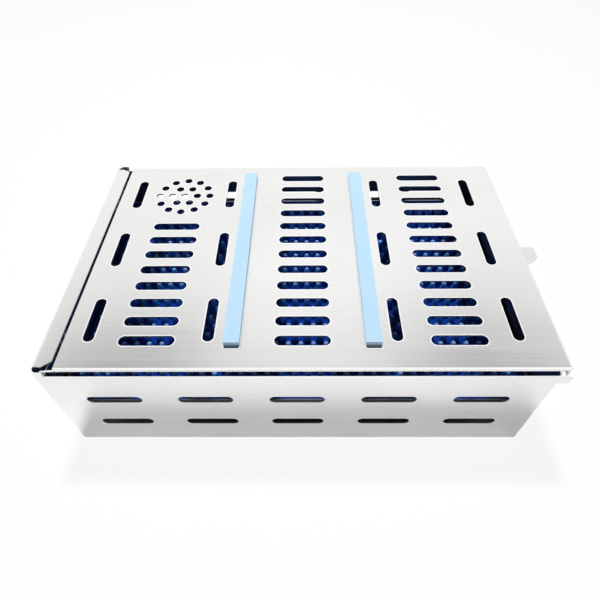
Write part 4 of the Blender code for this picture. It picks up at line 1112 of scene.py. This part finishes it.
def build_latch_spring():
    """The torsion spring's wire: a leg on the bracket, the coil and a leg under the lever."""
    fit = fittings()
    radius = fit.coil / 2
    wire = fit.wire / 2
    gap = fit.hole_play
    leg_drop, leg_reach, whole_turns, turn_steps = 0.006, 0.0043, 4, 28
    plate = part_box("latch_bracket")[0].x + sheets().sheet
    lever_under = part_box("latch_lever")[1].z - sheets().sheet
    wall_leg = (plate + gap + wire - fit.pin_x, -leg_drop)
    lever_leg = (leg_reach, lever_under - gap - wire - fit.pin_z)

    def tangent(point, side):
        return math.atan2(point[1], point[0]) + side * math.acos(radius / math.hypot(*point))

    start = tangent(wall_leg, 1)
    sweep = (tangent(lever_leg, -1) - start) % math.tau + whole_turns * math.tau
    steps = round(sweep / math.tau * turn_steps)
    coil_length = fit.coil_pitch * sweep / math.tau
    points = [(fit.pin_x + wall_leg[0], -coil_length / 2, fit.pin_z + wall_leg[1])]
    for step in range(steps + 1):
        angle = start + sweep * step / steps
        points.append((fit.pin_x + radius * math.cos(angle), coil_length * (step / steps - 0.5),
                       fit.pin_z + radius * math.sin(angle)))
    points.append((fit.pin_x + lever_leg[0], coil_length / 2, fit.pin_z + lever_leg[1]))
    curve = bpy.data.curves.new("torsion_spring", "CURVE")
    curve.dimensions = "3D"
    curve.bevel_depth = wire
    curve.bevel_resolution = 2
    curve.use_fill_caps = True
    spline = curve.splines.new("POLY")
    spline.points.add(len(points) - 1)
    for point, place in zip(spline.points, points):
        point.co = (*place, 1)
    guide = new_object("spring_guide", curve)
    mesh = bpy.data.meshes.new_from_object(guide.evaluated_get(bpy.context.evaluated_depsgraph_get()))
    bpy.data.objects.remove(guide)
    bm = bmesh.new()
    bm.from_mesh(mesh)
    for face in bm.faces:
        face.material_index = 0
    weld(bm, WELD / 10)
    return add_piece("torsion_spring", bm, ("spring_steel",), "base", "latch_spring")


# The stage

LAMPS = (("Back light", (-0.1, 0.37, 1.25), 0.14, 13.4), ("Front light", (0.1, -0.9, 1.0), 0.2, 2.0))
LAMP_TARGET = Vector((0, 0, 0.05))
SOFT_LIGHT = 0.22
SKY_STOPS = ((0.0, 1.0), (0.45, 1.0), (0.54, 0.93), (0.62, 1.0), (0.76, 1.0), (0.84, 0.73), (1.0, 0.73))
SIDE_HEIGHTS = (0.66, 0.82)
SIDE_SPREAD = (0.10, 0.46)
GLOW_HEIGHTS = (0.60, 0.70)
GLOW = 0.07
BACK_SPREAD = (0.15, 0.45)
FLOOR_RADIUS = 4.0
FLOOR_SHARES = (0.86, 0.12)
CAMERA_PLACE = (0.002718, -0.218206, 0.281086)
CAMERA_ANGLES = (49.484, -0.991, 0.936)
CAMERA_LENS = 28.048


def ray_share(nodes, direct, mirrored):
    """A factor for how much of the pale surroundings the camera and glass see, and how much metal shows."""
    camera, glossy, through = [nodes.add("ShaderNodeLightPath", output=name)
                               for name in ("Is Camera Ray", "Is Glossy Ray", "Is Transmission Ray")]
    return nodes.add("ShaderNodeClamp", inputs={0: camera * direct + through * direct + glossy * mirrored})


def build_floor():
    finish = Finish("Studio floor")
    grain = finish.noise((40.0, 40.0, 40.0), 2.0)
    tint = colours().floor
    finish.drive("Base Color", finish.blend(shade(tint, 0.99), shade(tint, 1.01), grain))
    finish.fix("Roughness", 0.9)
    finish.fix("Specular IOR Level", 0.0)
    glow = finish.add("ShaderNodeEmission", inputs={"Color": (1, 1, 1, 1), "Strength": 1.0})
    lit = Field(finish, finish.shader.outputs[0])
    mixed = finish.add("ShaderNodeMixShader", inputs={0: ray_share(finish, *FLOOR_SHARES), 1: lit, 2: glow})
    finish.tree.links.new(mixed.socket, finish.tree.nodes["Material Output"].inputs["Surface"])
    bm = bmesh.new()
    bmesh.ops.create_circle(bm, cap_ends=True, radius=FLOOR_RADIUS, segments=96)
    bmesh.ops.translate(bm, verts=bm.verts[:], vec=(0, 0, -NUDGE / 2))
    mesh = bpy.data.meshes.new("studio_floor")
    bm.to_mesh(mesh)
    bm.free()
    mesh.materials.append(finish.material)
    new_object("studio_floor", mesh)


def build_world():
    """Soft light from all round, with a greyer ceiling in what the metal mirrors."""
    world = bpy.data.worlds.new("Studio")
    world.use_nodes = True
    bpy.context.scene.world = world
    sky = Nodes(world.node_tree)
    direction = sky.add("ShaderNodeTexCoord", output="Generated")
    across, back, height = [sky.add("ShaderNodeSeparateXYZ", inputs={0: direction}, output=part)
                            for part in (0, 1, 2)]
    sideways = sky.add("ShaderNodeMath", {"operation": "ABSOLUTE"}, {0: across})
    stops = [(place, (part, part, part, 1)) for place, part in SKY_STOPS]
    ceiling = sky.add("ShaderNodeValToRGB", {"stops": stops}, {0: height})
    grey = 1.0 - ceiling + ease(sky, height, *SIDE_HEIGHTS) * ease(sky, sideways, *SIDE_SPREAD)
    glow = ease(sky, height, *GLOW_HEIGHTS) * GLOW
    level = 1.0 + glow - grey * ease(sky, back, *BACK_SPREAD)
    soft = sky.add("ShaderNodeBackground", inputs={"Color": (1, 1, 1, 1), "Strength": SOFT_LIGHT})
    white = sky.add("ShaderNodeBackground", inputs={"Color": (1, 1, 1, 1), "Strength": level})
    mixed = sky.add("ShaderNodeMixShader", inputs={0: ray_share(sky, 1.0, 1.0), 1: soft, 2: white})
    sky.tree.links.new(mixed.socket, sky.tree.nodes["World Output"].inputs["Surface"])


def add_lamp(name, place, size, power):
    light = bpy.data.lights.new(name, "AREA")
    light.shape = "RECTANGLE"
    light.size, light.size_y = size, size
    light.energy = power
    lamp = new_object(name, light)
    lamp.location = place
    lamp.visible_glossy = False
    lamp.rotation_euler = (LAMP_TARGET - Vector(place)).to_track_quat("-Z", "Y").to_euler()


def build_camera():
    """The photograph's point of view, with the principal point in the middle of a square frame."""
    pitch, yaw, roll = (math.radians(part) for part in CAMERA_ANGLES)
    forward = Vector((math.sin(yaw) * math.cos(pitch), math.cos(yaw) * math.cos(pitch), -math.sin(pitch)))
    side = forward.cross(Z).normalized()
    down = forward.cross(side)
    right = side * math.cos(roll) + down * math.sin(roll)
    low = down * math.cos(roll) - side * math.sin(roll)
    data = bpy.data.cameras.new("Camera")
    data.sensor_width = 36.0
    data.lens = CAMERA_LENS
    data.clip_start = 0.01
    camera = new_object("Camera", data)
    camera.matrix_world = (Matrix.Translation(CAMERA_PLACE)
                           @ Matrix((right, -low, -forward)).transposed().to_4x4())
    bpy.context.scene.camera = camera


# Operators

class CASE_OT_box(bpy.types.Operator):
    """Builds the perforated box with its strip and tabs"""
    bl_idname = "case.box"
    bl_label = "Box"

    def execute(self, context):
        build_base_shell()
        return {"FINISHED"}


class CASE_OT_lid(bpy.types.Operator):
    """Builds the perforated lid"""
    bl_idname = "case.lid"
    bl_label = "Lid"

    def execute(self, context):
        build_lid()
        return {"FINISHED"}


class CASE_OT_rails(bpy.types.Operator):
    """Builds the two silicone rails in the lid"""
    bl_idname = "case.rails"
    bl_label = "Rails"

    def execute(self, context):
        build_rail("lid_rail_left")
        build_rail("lid_rail_right")
        return {"FINISHED"}


class CASE_OT_tray(bpy.types.Operator):
    """Builds the lift-out tray"""
    bl_idname = "case.tray"
    bl_label = "Tray"

    def execute(self, context):
        build_tray()
        return {"FINISHED"}


class CASE_OT_mat(bpy.types.Operator):
    """Builds the silicone mat with its fingers"""
    bl_idname = "case.mat"
    bl_label = "Mat"

    def execute(self, context):
        build_mat()
        return {"FINISHED"}


class CASE_OT_hinge(bpy.types.Operator):
    """Builds the hinge's rod, clips and brackets"""
    bl_idname = "case.hinge"
    bl_label = "Hinge"

    def execute(self, context):
        build_rod()
        build_hinge_bracket("hinge_bracket_front", -1)
        build_hinge_bracket("hinge_bracket_back", 1)
        build_clip("rod_clip_front", "hinge_rod_clip_front")
        build_clip("rod_clip_back", "hinge_rod_clip_back")
        return {"FINISHED"}


class CASE_OT_ledges(bpy.types.Operator):
    """Builds the two ledges that carry the tray"""
    bl_idname = "case.ledges"
    bl_label = "Ledges"

    def execute(self, context):
        build_ledge("tray_ledge_left", 1)
        build_ledge("tray_ledge_right", -1)
        return {"FINISHED"}


class CASE_OT_rivets(bpy.types.Operator):
    """Builds every rivet"""
    bl_idname = "case.rivets"
    bl_label = "Rivets"

    def execute(self, context):
        for node in LEFT_RIVETS + RIGHT_RIVETS:
            build_rivet(node)
        return {"FINISHED"}


class CASE_OT_latch(bpy.types.Operator):
    """Builds the latch's bracket, pin, lever and spring"""
    bl_idname = "case.latch"
    bl_label = "Latch"

    def execute(self, context):
        build_latch_bracket()
        build_latch_pin()
        build_latch_lever()
        build_latch_spring()
        return {"FINISHED"}


class CASE_OT_stage(bpy.types.Operator):
    """Sets the floor, the studio light and the camera"""
    bl_idname = "case.stage"
    bl_label = "Stage"

    def execute(self, context):
        build_floor()
        build_world()
        for lamp in LAMPS:
            add_lamp(*lamp)
        build_camera()
        context.scene.view_settings.view_transform = "Standard"
        return {"FINISHED"}


class CASE_PT_panel(bpy.types.Panel):
    """Lists the pieces of the instrument case"""
    bl_idname = "CASE_PT_panel"
    bl_label = "Instrument case"
    bl_space_type = "VIEW_3D"
    bl_region_type = "UI"
    bl_category = "Instrument case"

    def draw(self, context):
        for operator in OPERATORS:
            self.layout.operator(operator.bl_idname)


GROUPS = (("case_sheets", CaseSheetSizes), ("case_openings", CaseOpeningSizes),
          ("case_fittings", CaseFittingSizes), ("case_colours", CaseColours))
OPERATORS = (CASE_OT_box, CASE_OT_lid, CASE_OT_rails, CASE_OT_tray, CASE_OT_mat, CASE_OT_hinge,
             CASE_OT_ledges, CASE_OT_rivets, CASE_OT_latch, CASE_OT_stage)


def register():
    for name, group in GROUPS:
        bpy.utils.register_class(group)
        setattr(bpy.types.Scene, name, PointerProperty(type=group))
    for item in (*OPERATORS, CASE_PT_panel):
        bpy.utils.register_class(item)


def unregister():
    for item in reversed((*OPERATORS, CASE_PT_panel)):
        bpy.utils.unregister_class(item)
    for name, group in reversed(GROUPS):
        delattr(bpy.types.Scene, name)
        bpy.utils.unregister_class(group)


def main():
    register()
    bpy.ops.case.box()
    bpy.ops.case.lid()
    bpy.ops.case.rails()
    bpy.ops.case.tray()
    bpy.ops.case.mat()
    bpy.ops.case.hinge()
    bpy.ops.case.ledges()
    bpy.ops.case.rivets()
    bpy.ops.case.latch()
    bpy.ops.case.stage()


if __name__ == "__main__":
    main()
